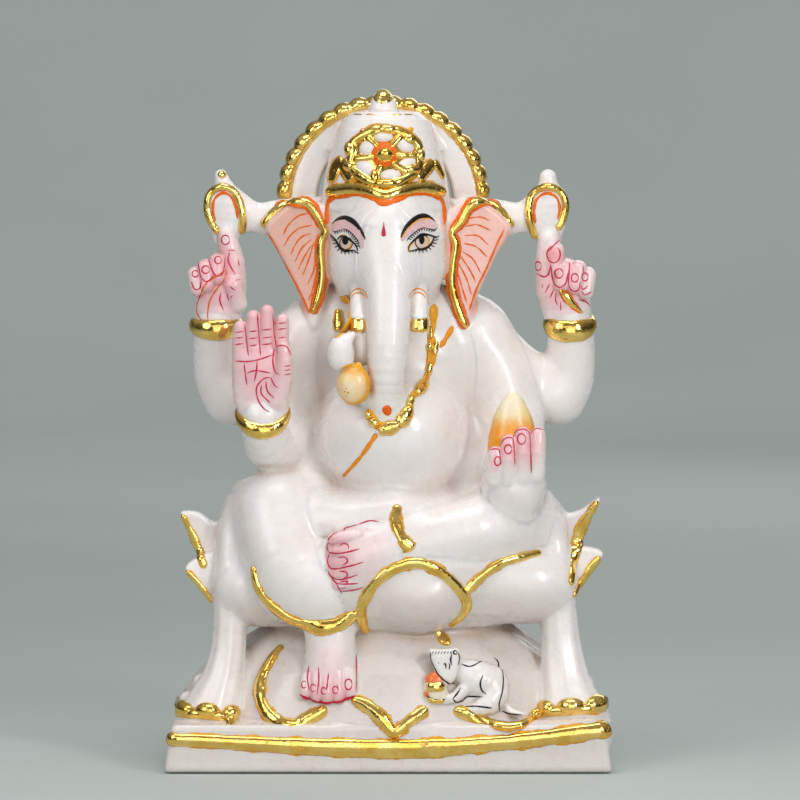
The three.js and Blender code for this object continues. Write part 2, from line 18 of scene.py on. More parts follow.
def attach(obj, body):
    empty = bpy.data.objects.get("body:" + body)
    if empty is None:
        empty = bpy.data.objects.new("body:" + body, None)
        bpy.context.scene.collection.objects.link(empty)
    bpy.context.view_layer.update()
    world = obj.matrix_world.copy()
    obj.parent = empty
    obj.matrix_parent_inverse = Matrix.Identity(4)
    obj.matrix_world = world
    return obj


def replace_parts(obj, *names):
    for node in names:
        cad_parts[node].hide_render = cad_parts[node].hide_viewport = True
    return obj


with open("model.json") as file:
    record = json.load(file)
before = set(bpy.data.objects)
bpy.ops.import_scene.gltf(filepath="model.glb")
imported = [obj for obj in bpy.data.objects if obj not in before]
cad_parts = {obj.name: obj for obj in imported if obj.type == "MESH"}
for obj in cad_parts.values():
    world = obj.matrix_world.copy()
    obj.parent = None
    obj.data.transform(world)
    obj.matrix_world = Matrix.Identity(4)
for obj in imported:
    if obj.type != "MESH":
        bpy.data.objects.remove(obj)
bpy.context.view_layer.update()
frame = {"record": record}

MM = 0.001
FAR = 1000.0  # a distance that stands for "nowhere near", in mm
SPARE = 3.0  # how far past its box and its fillet a solid is worked out, in mm
SAG_ROOM = 8.0  # how far a bent plate may leave its flat box, in mm
COARSE = 1.0  # grows every voxel while trying things
FRONT_START = -85.0  # where the rays that look for the front of the stone set out, in mm
RAY_LENGTH = 130.0
STEEPEST = 2.2  # how far back a painted path may drop for each mm along it
BRUSH_SPREAD = 1.3  # how much wider a face stroke is than its points say
SUNK = 0.3  # how far a laid piece reaches into the stone, in mm


# ---------------------------------------------------------------- curves and outlines


def spline(points, steps=4, closed=False):
    """A Catmull-Rom curve through rows of numbers, steps rows to each span."""
    points = np.array(points, float)
    if closed:
        padded = np.vstack([points[-1], points, points[:2]])
    else:
        padded = np.vstack([2 * points[0] - points[1], points, 2 * points[-1] - points[-2]])
    rows = []
    for a, b, c, d in zip(padded, padded[1:], padded[2:], padded[3:]):
        slope, bend, twist = c - a, 2 * a - 5 * b + 4 * c - d, 3 * b - a - 3 * c + d
        for t in np.arange(steps) / steps:
            rows.append(0.5 * (2 * b + slope * t + bend * t**2 + twist * t**3))
    if not closed:
        rows.append(points[-1])
    return np.array(rows)


def evenly(path, step):
    """The same path with a row about every step along it."""
    lengths = np.linalg.norm(np.diff(path[:, :3], axis=0), axis=1)
    along = np.concatenate([[0], np.cumsum(lengths)])
    wanted = np.linspace(0, along[-1], max(3, int(along[-1] / step) + 1))
    return np.stack([np.interp(wanted, along, column) for column in path.T], axis=1)


def outline_distance(outline, u, v):
    """Signed distance from u, v to a closed outline, negative inside."""
    nearest = None
    sign = 1.0
    for (ax, ay), (bx, by) in zip(outline, np.roll(outline, -1, axis=0)):
        ex, ey = bx - ax, by - ay
        wx, wy = u - ax, v - ay
        t = np.clip((wx * ex + wy * ey) / (ex * ex + ey * ey), 0, 1)
        gap = (wx - ex * t) ** 2 + (wy - ey * t) ** 2
        nearest = gap if nearest is None else np.minimum(nearest, gap)
        low, high, turn = v >= ay, v < by, ex * wy > ey * wx
        sign = np.where((low & high & turn) | (~low & ~high & ~turn), -sign, sign)
    return sign * np.sqrt(nearest)


def smooth_step(low, high, value):
    t = np.clip((value - low) / (high - low), 0, 1)
    return t * t * (3 - 2 * t)


# ---------------------------------------------------------------- solids of the distance field


class Solid:
    """A distance function with the box it lives in. blend is how far it melts into what it joins."""

    def __init__(self, distance, low, high, blend):
        self.distance = distance
        self.low = np.array(low, float)
        self.high = np.array(high, float)
        self.blend = blend


def ball(centre, radii, blend=3.0, turn=(0, 0, 0)):
    """An ellipsoid, turned by Euler angles in degrees."""
    radii = np.array([radii] * 3 if np.isscalar(radii) else radii, float)
    matrix = np.array(Euler([math.radians(a) for a in turn]).to_matrix()).T
    cx, cy, cz = centre

    def distance(x, y, z):
        x, y, z = x - cx, y - cy, z - cz
        if any(turn):
            x, y, z = (row[0] * x + row[1] * y + row[2] * z for row in matrix)
        near = np.sqrt((x / radii[0]) ** 2 + (y / radii[1]) ** 2 + (z / radii[2]) ** 2)
        slope = np.sqrt((x / radii[0] ** 2) ** 2 + (y / radii[1] ** 2) ** 2 + (z / radii[2] ** 2) ** 2)
        return near * (near - 1) / np.maximum(slope, 1e-6)

    reach = np.full(3, radii.max()) if any(turn) else radii
    return Solid(distance, np.array(centre) - reach, np.array(centre) + reach, blend)


def limb(stations, blend=3.0, squash=(1, 1, 1), steps=3):
    """A round limb through stations (x, y, z, radius), flattened by squash along each axis."""
    path = spline(stations, steps)
    squash = np.array(squash, float)
    scaled = path.copy()
    scaled[:, :3] /= squash
    least = squash.min()

    def distance(x, y, z):
        x, y, z = x / squash[0], y / squash[1], z / squash[2]
        nearest = None
        for a, b in zip(scaled, scaled[1:]):
            ex, ey, ez, grow = b - a
            wx, wy, wz = x - a[0], y - a[1], z - a[2]
            t = np.clip((wx * ex + wy * ey + wz * ez) / max(ex * ex + ey * ey + ez * ez, 1e-9), 0, 1)
            gap = np.sqrt((wx - ex * t) ** 2 + (wy - ey * t) ** 2 + (wz - ez * t) ** 2) - a[3] - grow * t
            nearest = gap if nearest is None else np.minimum(nearest, gap)
        return nearest * least

    reach = path[:, 3:4] * squash
    return Solid(distance, (path[:, :3] - reach).min(0), (path[:, :3] + reach).max(0), blend)


def column(stations, blend=3.0, flutes=0, groove=0.0, fade=(0, 1), phase=0.0):
    """An upright form through stations (z, x, y, half width, half depth), fluted below fade."""
    levels = np.array(sorted(stations), float)
    fine = spline(levels, 6)
    low, high = fine[0, 0], fine[-1, 0]

    def distance(x, y, z):
        cx, cy, wx, wy = (np.interp(z, fine[:, 0], fine[:, i]) for i in (1, 2, 3, 4))
        dx, dy = x - cx, y - cy
        r = np.sqrt(dx * dx + dy * dy)
        k = np.sqrt((dx / wx) ** 2 + (dy / wy) ** 2)
        side = r * (1 - 1 / np.maximum(k, 1e-3))
        if flutes:
            wave = np.cos(flutes * np.arctan2(dy / wy, dx / wx) + phase)
            above = smooth_step(fade[0], fade[1], z)
            side = side + groove * (1 - wave) * (1 - above) * smooth_step(0.3, 1, k)
        ends = np.maximum(low - z, z - high)
        return np.minimum(np.maximum(side, ends), 0) + np.hypot(np.maximum(side, 0), np.maximum(ends, 0))

    reach = np.stack([fine[:, 3], fine[:, 4]], 1)
    low_corner = [*(fine[:, 1:3] - reach).min(0), low]
    high_corner = [*(fine[:, 1:3] + reach).max(0), high]
    return Solid(distance, low_corner, high_corner, blend)


def plate(outline, front, back, blend=2.0, edge=1.5, sag=None, smooth=True):
    """A plate cut to an (x, z) outline from y = front to back. sag(x, z) moves it in y."""
    outline = spline(outline, 4, closed=True) if smooth else np.array(outline, float)

    def distance(x, y, z):
        if sag is not None:
            y = y - sag(x, z)
        flat = outline_distance(outline, x, z) + edge
        deep = np.maximum(front - y, y - back) + edge
        inside = np.minimum(np.maximum(flat, deep), 0)
        return inside + np.hypot(np.maximum(flat, 0), np.maximum(deep, 0)) - edge

    low, high = outline.min(0), outline.max(0)
    room = SAG_ROOM if sag is not None else 0
    return Solid(distance, (low[0], front - room, low[1]), (high[0], back + room, high[1]), blend)


def turned(centre, profile, deep=1.0, blend=3.0, edge=0.5, lobes=0, lobe=0.0, phase=0.0):
    """A turned form about Z from (radius, z) pairs, deep times as deep as wide, with soft lobes."""
    pairs = np.array([(0, profile[0][1]), *profile, (0, profile[-1][1])], float)
    mirrored = np.vstack([pairs, pairs[1:-1][::-1] * (-1, 1)])
    cx, cy = centre

    def distance(x, y, z):
        x, y = x - cx, y - cy
        r = np.sqrt(x * x + (y / deep) ** 2)
        steep = np.sqrt(x * x + y * y / deep**4) / np.maximum(r, 1e-6)
        if lobes:
            r = r - lobe * np.cos(lobes * np.arctan2(y / deep, x) + phase)
        return (outline_distance(mirrored, r, z) + edge) / np.maximum(steep, 1) - edge

    wide = pairs[:, 0].max() + lobe
    low = (cx - wide, cy - wide * deep, pairs[:, 1].min())
    high = (cx + wide, cy + wide * deep, pairs[:, 1].max())
    return Solid(distance, low, high, blend)


def block(low, high, corner, taper=0.0, blend=3.0):
    """A box with rounded edges, whose sides lean in by taper over its height."""
    low, high = np.array(low, float), np.array(high, float)
    centre, half = (low + high) / 2, (high - low) / 2

    def distance(x, y, z):
        lean = taper * (z - low[2]) / (high[2] - low[2])
        q = [np.abs(x - centre[0]) - half[0] + corner + lean,
             np.abs(y - centre[1]) - half[1] + corner,
             np.abs(z - centre[2]) - half[2] + corner]
        outside = np.sqrt(sum(np.maximum(a, 0) ** 2 for a in q))
        return outside + np.minimum(np.maximum(np.maximum(q[0], q[1]), q[2]), 0) - corner

    return Solid(distance, low, high, blend)


def smooth_min(a, b, k):
    h = np.maximum(k - np.abs(a - b), 0) / k
    return np.minimum(a, b) - h * h * k / 4


# ---------------------------------------------------------------- the stone


class Stone:
    """Solids that melt together in order, each one a part of a named piece."""

    def __init__(self):
        self.solids = []

    def add(self, piece, *solids):
        self.solids.extend((piece, solid) for solid in solids)

    def pieces(self):
        return list(dict.fromkeys(piece for piece, _ in self.solids))

    def box(self, piece):
        mine = [s for name, s in self.solids if name == piece]
        return np.min([s.low for s in mine], 0), np.max([s.high for s in mine], 0)

    def field(self, x, y, z, focus=None):
        """The distance to the stone, and how much nearer the focus piece is than any other."""
        shape = np.broadcast_shapes(x.shape, y.shape, z.shape)
        stone = np.full(shape, FAR, np.float32)
        own = np.full(shape, FAR, np.float32)
        others = np.full(shape, FAR, np.float32)
        for piece, solid in self.solids:
            key, near = window(x, y, z, solid)
            if key is None:
                continue
            gap = solid.distance(*near).astype(np.float32)
            stone[key] = smooth_min(stone[key], gap, solid.blend)
            if focus is not None:
                target = own if piece == focus else others
                target[key] = np.minimum(target[key], gap)
        return stone, own - others

    def at(self, points):
        return self.field(*points.T.astype(np.float32))[0]

    def slope(self, points, step=0.12):
        """The field and its unit gradient at points."""
        corners = np.array([[1, -1, -1], [-1, -1, 1], [-1, 1, -1], [1, 1, 1]], np.float32)
        values = [self.at(points + step * corner) for corner in corners]
        gradient = sum(corner * value[:, None] for corner, value in zip(corners, values)) / (4 * step)
        size = np.maximum(np.linalg.norm(gradient, axis=1), 0.2)
        return sum(values) / 4, gradient / size[:, None], size

    def settle(self, points, rounds=2, reach=1.0):
        """Points moved onto the surface, but not those further from it than reach."""
        for _ in range(rounds):
            gap, normal, size = self.slope(points)
            move = np.where(np.abs(gap) < reach, gap / size, 0)
            points = points - normal * move[:, None]
        return points, self.slope(points)[1]


def window(x, y, z, solid):
    """The part of a grid, or of a list of points, that a solid can reach, as an index and its x, y, z."""
    margin = solid.blend + SPARE
    low, high = solid.low - margin, solid.high + margin
    if x.ndim == 3:
        spans = []
        for axis, values in enumerate((x.ravel(), y.ravel(), z.ravel())):
            first, last = np.searchsorted(values, (low[axis], high[axis]))
            if first >= last:
                return None, None
            spans.append(slice(first, last))
        return tuple(spans), (x[spans[0]], y[:, spans[1]], z[:, :, spans[2]])
    inside = (x > low[0]) & (x < high[0]) & (y > low[1]) & (y < high[1]) & (z > low[2]) & (z < high[2])
    key = np.flatnonzero(inside)
    return (None, None) if not len(key) else (key, (x[key], y[key], z[key]))


def surface(values, origin, voxel):
    """Points and quads of the zero surface of a grid of values."""
    grid = openvdb.FloatGrid(3 * voxel)
    grid.copyFromArray(np.ascontiguousarray(np.clip(values, -3 * voxel, 3 * voxel), np.float32))
    points, quads = grid.convertToQuads(0.0)
    return points * voxel + origin, quads


def axes_round(low, high, voxel):
    spans = [np.arange(a - 3 * voxel, b + 4 * voxel, voxel, dtype=np.float32) for a, b in zip(low, high)]
    origin = np.array([span[0] for span in spans])
    return origin, (spans[0][:, None, None], spans[1][None, :, None], spans[2][None, None, :])


# ---------------------------------------------------------------- meshes


def make_object(name, points, faces, material, slot, normals=None, attributes=None):
    """A mesh object from points in mm. Each attribute is one number or one colour for each point."""
    mesh = bpy.data.meshes.new(name)
    mesh.from_pydata((points * MM).tolist(), [], faces.tolist() if hasattr(faces, "tolist") else faces)
    mesh.validate()
    for key, values in (attributes or {}).items():
        kind = "FLOAT" if values.ndim == 1 else "FLOAT_COLOR"
        layer = mesh.attributes.new(key, kind, "POINT")
        layer.data.foreach_set("value" if values.ndim == 1 else "color",
                               values.astype(np.float32).ravel())
    mesh.shade_smooth()
    if normals is not None:
        mesh.normals_split_custom_set_from_vertices(normals.tolist())
    mesh.materials.append(material)
    piece = bpy.data.objects.new(name, mesh)
    bpy.context.scene.collection.objects.link(piece)
    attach(piece, "root")
    return piece


def sculpted(stone, name, voxel, material, slot, paint_and_shade):
    """The mesh of one piece's share of the stone."""
    voxel *= COARSE
    low, high = stone.box(name)
    origin, axes = axes_round(low, high, voxel)
    field, nearer = stone.field(*axes, focus=name)
    # the piece runs a little past its border, so that no crack shows between neighbours
    points, quads = surface(np.maximum(field, nearer - 0.6 * voxel), origin, voxel)
    points, normals = stone.settle(points, reach=0.55 * voxel)
    # the first attribute is painted shade for creases and recesses; the second holds the washes of paint
    # and of painted shade
    attributes = {
        "hollow_shade": hollow_shade(stone, points, normals),
        "paint_and_shade": paint_and_shade(points),
    }
    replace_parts(make_object(name + "_stone", points, quads, material, slot, normals, attributes), name)
    return points, quads, normals


def hollow_shade(stone, points, normals):
    """How enclosed each point is, from 0 in the open to 1 deep in a recess; the marble is painted darker
    there as painted shade.
    """
    shade = np.zeros(len(points))
    near_and_far = ((2.0, 0.45), (6.0, 0.55))  # a reach in mm, and its weight
    for reach, weight in near_and_far:
        open_gap = stone.at(points + normals * reach)
        shade += weight * np.clip(1 - open_gap / reach, 0, 1)
    return np.clip(shade, 0, 1)


# ---------------------------------------------------------------- base and seat


def base(stone):
    stone.add("plinth", block((-100.3, -54.6, 0), (100.3, 54.6, 21.5), 2.5, taper=3.5),
              limb([(20, -46.6, 13.6, 7.8), (60, -46.6, 14.6, 7.8), (92.6, -46.6, 16, 7.8)], 3))
    stone.add(
        "pedestal",
        turned((0, 0), [(91, 12), (95.5, 24), (91, 33), (84, 42), (75, 49), (65, 55.5), (52, 63.5)],
               deep=0.55, edge=2.5, blend=4, lobes=12, lobe=1.6),
    )
    stone.add(
        "lotus_seat",
        turned((0, 0), [(50, 62), (62, 64.5), (73, 71), (79.5, 80), (82, 91), (79, 99)],
               deep=0.6, edge=3, blend=2.5, lobes=12, lobe=1.2, phase=math.pi),
        ball((12.5, -33, 78), (23, 19, 16.5), 3),
        ball((60, -24, 82), (25, 17, 18), 4),
        ball((-57, -22, 79.5), (22, 17, 17), 4),
    )
    petals = {
        "upper_petal_right": ([(-66, 84), (-67, 106), (-73, 112), (-79, 109), (-86, 113.4), (-94, 113.6),
                               (-90.4, 106), (-87.6, 98), (-82, 87), (-76, 80)], -14, -4),
        "lower_petal_right": ([(-66, 72), (-68, 92), (-78, 96), (-86.6, 93.6), (-91.8, 88.6), (-87, 82.6),
                               (-82, 76.6), (-76, 70)], -22, -10),
        "upper_petal_left": ([(66, 84), (67, 110), (75.5, 117.6), (81, 113.4), (87, 114.8), (95.8, 120.4),
                              (92.4, 112.6), (89.2, 107), (86, 96), (83, 84), (76, 78)], -14, -4),
        "lower_petal_left": ([(66, 74), (68, 94), (80, 98), (89, 98.4), (97, 95.6), (91.4, 88),
                              (85, 78.6), (78, 71)], -22, -10),
    }
    for name, (outline, front, back) in petals.items():
        curl = 1 if name.endswith("left") else -1

        def sag(x, z, curl=curl):
            return -0.006 * (curl * x - 80) ** 2 + 0.5 * np.sin(z / 5)

        stone.add(name, plate(outline, front, back, blend=3, edge=1.8, sag=sag))
    flutes = dict(flutes=9, groove=0.2, fade=(44, 92))
    stone.add(
        "drape_right",
        column([(20.5, -80.5, -29, 16.4, 15), (27, -79.5, -29.5, 14.4, 13.6),
                (35, -76.8, -28.5, 11.8, 11.6), (45, -73.6, -27, 9, 9.6), (58, -71.7, -25.5, 7.7, 8.4),
                (76, -71.2, -24, 7.3, 8), (98, -70.6, -21, 7, 8.5), (116, -68.4, -17, 6.6, 9),
                (128, -63, -13, 5, 9)],
               blend=3.5, phase=0.6, **flutes),
        ball((-84.6, -24, 37.6), (3.6, 3, 3.6), 2),
        ball((-90.6, -24, 29.6), (3.8, 3, 3.8), 2),
    )
    stone.add(
        "drape_left",
        column([(20.5, 84, -29, 17, 15), (28, 82.8, -29.5, 15.4, 13.6), (36, 80.8, -28.5, 12.4, 11.8),
                (45, 79.2, -27, 10.4, 10), (58, 77.8, -25.5, 8.8, 8.8), (76, 76.6, -24, 7.7, 8.2),
                (98, 75.6, -20, 6.6, 8.4), (112, 73, -16, 6, 9), (122, 68, -12, 5, 9)],
               blend=3.5, phase=2.2, **flutes),
        ball((88.6, -24, 37.4), (4, 3, 3.6), 2),
    )


# ---------------------------------------------------------------- body, legs and arms


def body(stone):
    stone.add(
        "torso",
        ball((3, 3, 182), (43, 27, 36), 6),
        ball((4, 10, 150), (42, 25, 40), 10),
        limb([(-31, 6, 196.5, 14.5), (-12, 6, 201, 13.5), (14, 6, 201, 13.5), (38, 6, 196, 15)], 10),
        ball((2, -6, 111), (54, 36.4, 16.2), 8),
        limb([(0, 0, 196, 15), (0, -4, 214, 15)], 8),
        limb([(-27, 3, 205, 12), (27, 3, 205, 12)], 8),
        limb([(-40, -20, 112, 14), (-20, -30, 108, 12.5), (2, -30, 112, 13)], 10),
        ball((40, -7, 135), (14, 15, 20), 10),
        ball((-36, -3, 137), (13, 14, 20), 10),
    )
    stone.add("belly", ball((1.4, -15.5, 149.6), (32.8, 29, 29), 9))
    stone.add(
        "left_leg",
        limb([(22, 10, 114, 17), (42, 0, 114, 17.6), (58, -16, 110, 17.6)], 7),
        limb([(58, -18, 110, 17.4), (44, -30, 107, 16), (26, -36, 104, 14), (8, -39, 101, 12)], 5,
             squash=(1, 0.95, 1)),
    )
    stone.add(
        "right_leg",
        limb([(-22, 8, 114, 17), (-38, -6, 117, 17.6), (-51, -22, 115, 17.6)], 7),
        limb([(-51, -23, 114, 17.6), (-48, -30, 100, 18), (-42, -35, 88, 16.6), (-34, -36, 78, 13)], 5),
        ball((-35, -35, 82), (26, 15, 18.5), 5, turn=(0, 12, 0)),
    )
    stone.add(
        "rear_right_arm",
        limb([(-40, 8, 190, 12), (-56, 9, 178, 12), (-70, 9, 166, 12.4)], 6),
        limb([(-72, 9, 164.5, 12), (-76.4, 8, 174, 12), (-78.2, 5, 192, 10.6), (-78, 4, 200, 9.6)], 5,
             squash=(1, 0.92, 1)),
    )
    stone.add(
        "rear_left_arm",
        limb([(44, 8, 190, 12), (60, 9, 177, 11.6), (75, 9, 166, 12.4)], 6),
        limb([(78, 9, 164.5, 12), (82, 8, 174, 11.8), (83.2, 5, 192, 10.6), (82.4, 4, 200, 9.6)], 5,
             squash=(1, 0.92, 1)),
    )
    stone.add(
        "front_right_arm",
        limb([(-38, 0, 194, 13.6), (-44, -4, 174, 13), (-49, -10, 150, 12.6)], 7),
        limb([(-49.5, -11, 147.5, 12.6), (-53, -21, 144.5, 11.8), (-55.6, -30, 151, 10.2),
              (-56.2, -32, 158, 9.4)], 4),
    )
    stone.add(
        "front_left_arm",
        limb([(41, 2, 192, 14), (50, 0, 174, 14), (56, -5, 153, 13.4)], 8),
        limb([(56, -6, 150, 13.4), (58, -18, 139, 12.8), (57, -30, 129, 12.4), (56.6, -35, 126, 11.8)],
             6),
        limb([(56, -31, 126, 12), (54, -29, 113, 11)], 9),
    )


def finger(stations, blend=0.9, squash=(1, 1, 1)):
    return limb(stations, blend, squash, steps=2)


def hands(stone):
    # blessing palm, its thumb folded across
    stone.add(
        "front_right_hand",
        limb([(-56, -31.5, 160, 9.8), (-56.4, -33, 168, 13), (-56.7, -34, 180, 13.4)], 3,
             squash=(1, 0.44, 1)),
        ball((-57, -34, 189), (13, 3, 14), 1.2),
        finger([(-66.2, -34, 180, 3.3), (-66.6, -35, 191, 3.3), (-66.2, -36, 198.6, 2.9)]),
        finger([(-60.4, -34.4, 181, 3.5), (-60.8, -35.6, 194, 3.4), (-60.4, -36.6, 203.2, 3.0)]),
        finger([(-54.2, -34.4, 181, 3.5), (-54.4, -35.6, 195, 3.5), (-54.2, -36.6, 205.6, 3.0)]),
        finger([(-48.2, -34, 181, 3.4), (-47.8, -35.2, 192, 3.4), (-47.4, -36.2, 201.6, 3.0)]),
        finger([(-50.6, -35.6, 166, 5.2), (-47.4, -37.6, 176, 4.4), (-46.4, -39, 184, 3.7),
                (-47, -39.4, 189.6, 3.0)], 1.6),
    )
    # cupped hand that holds the sweet
    stone.add(
        "front_left_hand",
        limb([(56.6, -36, 128, 12), (57.2, -38.5, 136, 12.6)], 3, squash=(1.06, 0.62, 1)),
        finger([(47.2, -43.4, 131, 3.7), (47.6, -45.6, 137, 3.5), (48, -45, 142.4, 3.3)], 1.2),
        finger([(53.4, -44.4, 131, 3.8), (53.6, -46.8, 140, 3.6), (53.8, -46, 147.6, 3.4)], 1.2),
        finger([(59.8, -44.4, 132, 3.8), (60, -46.8, 143, 3.7), (60.2, -46, 151, 3.5)], 1.2),
        finger([(66.2, -43, 133, 3.9), (66.8, -45.4, 143, 3.7), (67, -44.6, 150.6, 3.5)], 1.2),
    )
    # fists with the forefinger raised to an emblem
    stone.add(
        "rear_right_hand",
        limb([(-77.4, 4, 201, 9.8), (-76.4, 3, 211, 11.4), (-75.4, 2.4, 220, 10)], 3,
             squash=(1, 0.72, 1)),
        finger([(-70.2, 1, 214, 5.8), (-70.4, 0, 226, 5.4), (-72.6, -0.6, 235, 4.6),
                (-73.6, -0.6, 239.4, 3.8)], 1.6),
        finger([(-77.6, 1, 226, 4.2), (-77.6, -3.8, 226.4, 3.9), (-77.4, -5.4, 220, 3.6)], 0.9),
        finger([(-83, 1.4, 223.4, 4.2), (-83, -3.4, 223.6, 3.9), (-82.4, -5, 216.6, 3.6)], 0.9),
        finger([(-87.4, 2, 220.6, 3.7), (-87.6, -2.6, 220.8, 3.5), (-86.6, -4, 214.4, 3.2)], 0.9),
        finger([(-68.6, -1, 208, 4.6), (-70.4, -4.2, 216, 4.2)], 1.4),
    )
    stone.add(
        "rear_left_hand",
        limb([(81.4, 4, 201, 9.8), (80.2, 3, 210, 11.6), (79, 2.4, 218, 10.6)], 3, squash=(1, 0.72, 1)),
        finger([(72.6, 1, 214, 5.6), (72, 0, 226, 5.4), (73, -0.6, 236, 5.2)], 1.8),
        finger([(75.6, -3.6, 224, 4.2), (75.8, -3.4, 231.4, 4.2)], 1.0),
        finger([(80, 1, 223, 4.2), (80, -3.8, 223.4, 3.9), (78.6, -5.4, 216.6, 3.7)], 0.9),
        finger([(86, 1.4, 222.6, 4.2), (86, -3.6, 223, 4), (85, -5.2, 215.6, 3.8)], 0.9),
        finger([(90.4, 2, 220, 3.8), (90.6, -2.8, 220.4, 3.6), (89.6, -4.4, 213.4, 3.5)], 0.9),
    )


def feet(stone):
    stone.add(
        "right_foot",
        column([(31, -26.8, -41, 12.6, 8), (38, -26.6, -41.6, 12.6, 8.4), (48, -26.2, -40, 11.6, 9.4),
                (58, -26, -38, 11.2, 10), (68, -27, -36, 12.6, 10.4)], 2.5),
        finger([(-36.6, -46, 42, 2.5), (-37.2, -48.4, 36.4, 2.6), (-37.2, -48, 34.4, 2.5)], 0.9),
        finger([(-32, -47, 43, 2.6), (-32.2, -49.6, 35.8, 2.7), (-32.2, -49.2, 33.6, 2.5)], 0.9),
        finger([(-27.4, -47.2, 43, 2.6), (-27.4, -50, 35.2, 2.7), (-27.2, -49.6, 32.8, 2.5)], 0.9),
        finger([(-22.6, -47, 43, 2.6), (-22.4, -49.8, 35.4, 2.8), (-22.2, -49.4, 33, 2.6)], 0.9),
        finger([(-17.6, -45.6, 44, 3.2), (-17, -48.2, 37, 3.4), (-16.8, -47.8, 34.4, 3.2)], 0.9),
    )
    stone.add(
        "left_foot",
        limb([(10, -40, 101, 11), (-2, -44, 99, 11.4), (-14, -46, 95.6, 13)], 4, squash=(1, 0.66, 1)),
        *[finger([(-14, -49.6 + 0.2 * k, z, 3.0), (-21.4, -51 + 0.4 * k, z - 0.8, 2.8),
                  (-24.6 + 0.5 * k, -50 + 0.4 * k, z - 1.4, 2.5)], 0.9)
          for k, z in enumerate((106, 100.6, 95.2, 90, 85.4))],
    )


# ---------------------------------------------------------------- head and crown


def head(stone):
    stone.add(
        "head",
        ball((-0.5, -3, 240), (27, 24, 27), 5),
        ball((-0.5, -13, 222), (22, 18, 17), 12),
        ball((-13.5, -19.5, 227), (12, 11.5, 15), 8),
        ball((13, -19.5, 227), (12, 11.5, 15), 8),
        ball((-15, -19, 241), (9.5, 8, 8), 7),
        ball((15, -19, 241), (9.5, 8, 8), 7),
        ball((-21.5, -7, 247), (7, 9, 10), 5),
        ball((20.5, -7, 247), (7, 9, 10), 5),
        limb([(-0.5, -16, 262, 12), (-0.5, -25, 244, 11.5)], 12),
    )
    stone.add(
        "trunk",
        limb([(-0.5, -24, 240, 12.5), (-0.3, -32.4, 222, 11.6), (0, -38, 207, 10.4),
              (-0.4, -41.6, 191, 9.6), (-0.8, -42.4, 177, 8), (-1.4, -40.6, 168, 5.6)], 12),
        limb([(-2, -40, 168, 5.4), (-8.4, -39.6, 167.6, 4.6), (-14.5, -40.6, 171, 4.2),
              (-18.6, -43, 178, 4.4)], 2),
        ball((-21.6, -46.4, 186.6), (5.6, 5.2, 7.2), 2),
        limb([(-20.8, -46.4, 190.6, 4.8), (-18.4, -45.8, 193.4, 3), (-15.8, -44.8, 195.6, 1.3)], 2.4),
        limb([(-19, -46.4, 184, 3.4), (-17.8, -46, 187.4, 2.4)], 3),
        ball((-12.6, -39.4, 189), (6, 4, 8), 1.2),
    )
    for side, x in (("right", -13), ("left", 13.6)):
        stone.add(f"tusk_{side}", limb([(x * 0.92, -22, 220, 4.8), (x * 0.97, -31, 212, 4.5),
                                        (x, -37, 203, 4.2)], 1.4))
    stone.add(
        "crown",
        turned((-1.2, -2), [(28, 252), (28.5, 259), (27.8, 264), (25.8, 273), (24.2, 279), (22, 286),
                            (19.4, 291), (15.4, 294.4)],
               deep=0.86, edge=3, blend=6),
        plate([(-25, 276), (-21, 284), (-14, 291), (11, 291), (18, 284), (22, 276)], 5, 13, blend=6,
              edge=3),
    )
    stone.add("finial", turned((-2.4, 0),
                               [(7, 293), (6.6, 296), (5.6, 299.4), (4.1, 302.4), (2.2, 304.3),
                                (0.7, 305)], edge=0.4, blend=1.6))
    arc = [(math.cos(a), math.sin(a)) for a in np.linspace(0, math.pi, 25)]
    outer = [(-1.6 + 43 * c, 254 + 43 * s) for c, s in arc]
    inner = [(-1.6 + 30.6 * c, 254 + 30.6 * s) for c, s in reversed(arc)]
    legs = [(-44.6, 240), (-32.2, 240)], [(29, 240), (41.4, 240)]
    stone.add("halo", plate(outer + legs[0] + inner + legs[1], 7, 15, blend=3, edge=2, smooth=False))
    for side, sign in (("right", -1), ("left", 1)):
        fan = [(24, 240), (28, 250), (34, 255), (41, 254.6), (49, 250), (55.4, 243), (54, 238),
               (49.6, 231), (45, 221.6), (39.6, 210), (36, 200), (33.6, 197.4), (31, 203), (27, 216),
               (24, 230)]

        def sag(x, z, sign=sign):
            return 0.055 * np.maximum(sign * x - 27, 0) ** 1.3 + 0.02 * (z - 240) - 1.5

        outline = [(sign * x, z) for x, z in fan]
        stone.add(f"ear_{side}", plate(outline, -12.4, -5, blend=3.4, edge=2.2, sag=sag))
    for side, x, stub, top in (("right", -74, -76, 2.9), ("left", 72.8, 72.4, 3.9)):
        sign = -1 if side == "right" else 1
        stone.add(
            f"emblem_back_{side}",
            limb([(x, 2, 252.6, 9.2), (x + sign * 0.2, 2, 246, 8), (x, 2, 238, 5.6)], 2,
                 squash=(1, 0.55, 1)),
            limb([(x, 2, 258, 4.6), (stub, 2, 265.6 - (top - 2.9), top)], 2),
            limb([(sign * 66, 3, 248, 7), (sign * 58, 3, 246.4, 7), (sign * 48, 3, 246, 9),
                  (sign * 34, 3, 246, 10)], 4,
                 squash=(1, 0.6, 1)),
        )


def mouse(stone):
    stone.add(
        "mouse",
        limb([(44.6, -40, 38, 9.4), (39, -42, 41, 8.4), (33, -43.4, 44.6, 5.4)], 1.5),
        plate([(18.2, 54.8), (24, 55), (31, 55.2), (32.4, 51), (31.8, 46), (30, 41.6), (27.6, 39.4),
               (24.4, 41), (21, 45), (19, 50)], -51.5, -43, blend=1.6, edge=2.6),
        limb([(47.6, -44, 34, 6.2), (44.4, -47, 30, 5), (37, -48, 27.4, 2.6), (33.6, -48, 27, 2.2)], 1.2),
        limb([(35, -46, 38, 3.4), (30, -48.4, 33.6, 2.6), (25.6, -49, 32.4, 2.2)], 1.0),
        limb([(51, -42, 30, 2.4), (55, -46, 26.6, 1.8), (60, -48.6, 25.6, 1.2)], 1.0),
    )


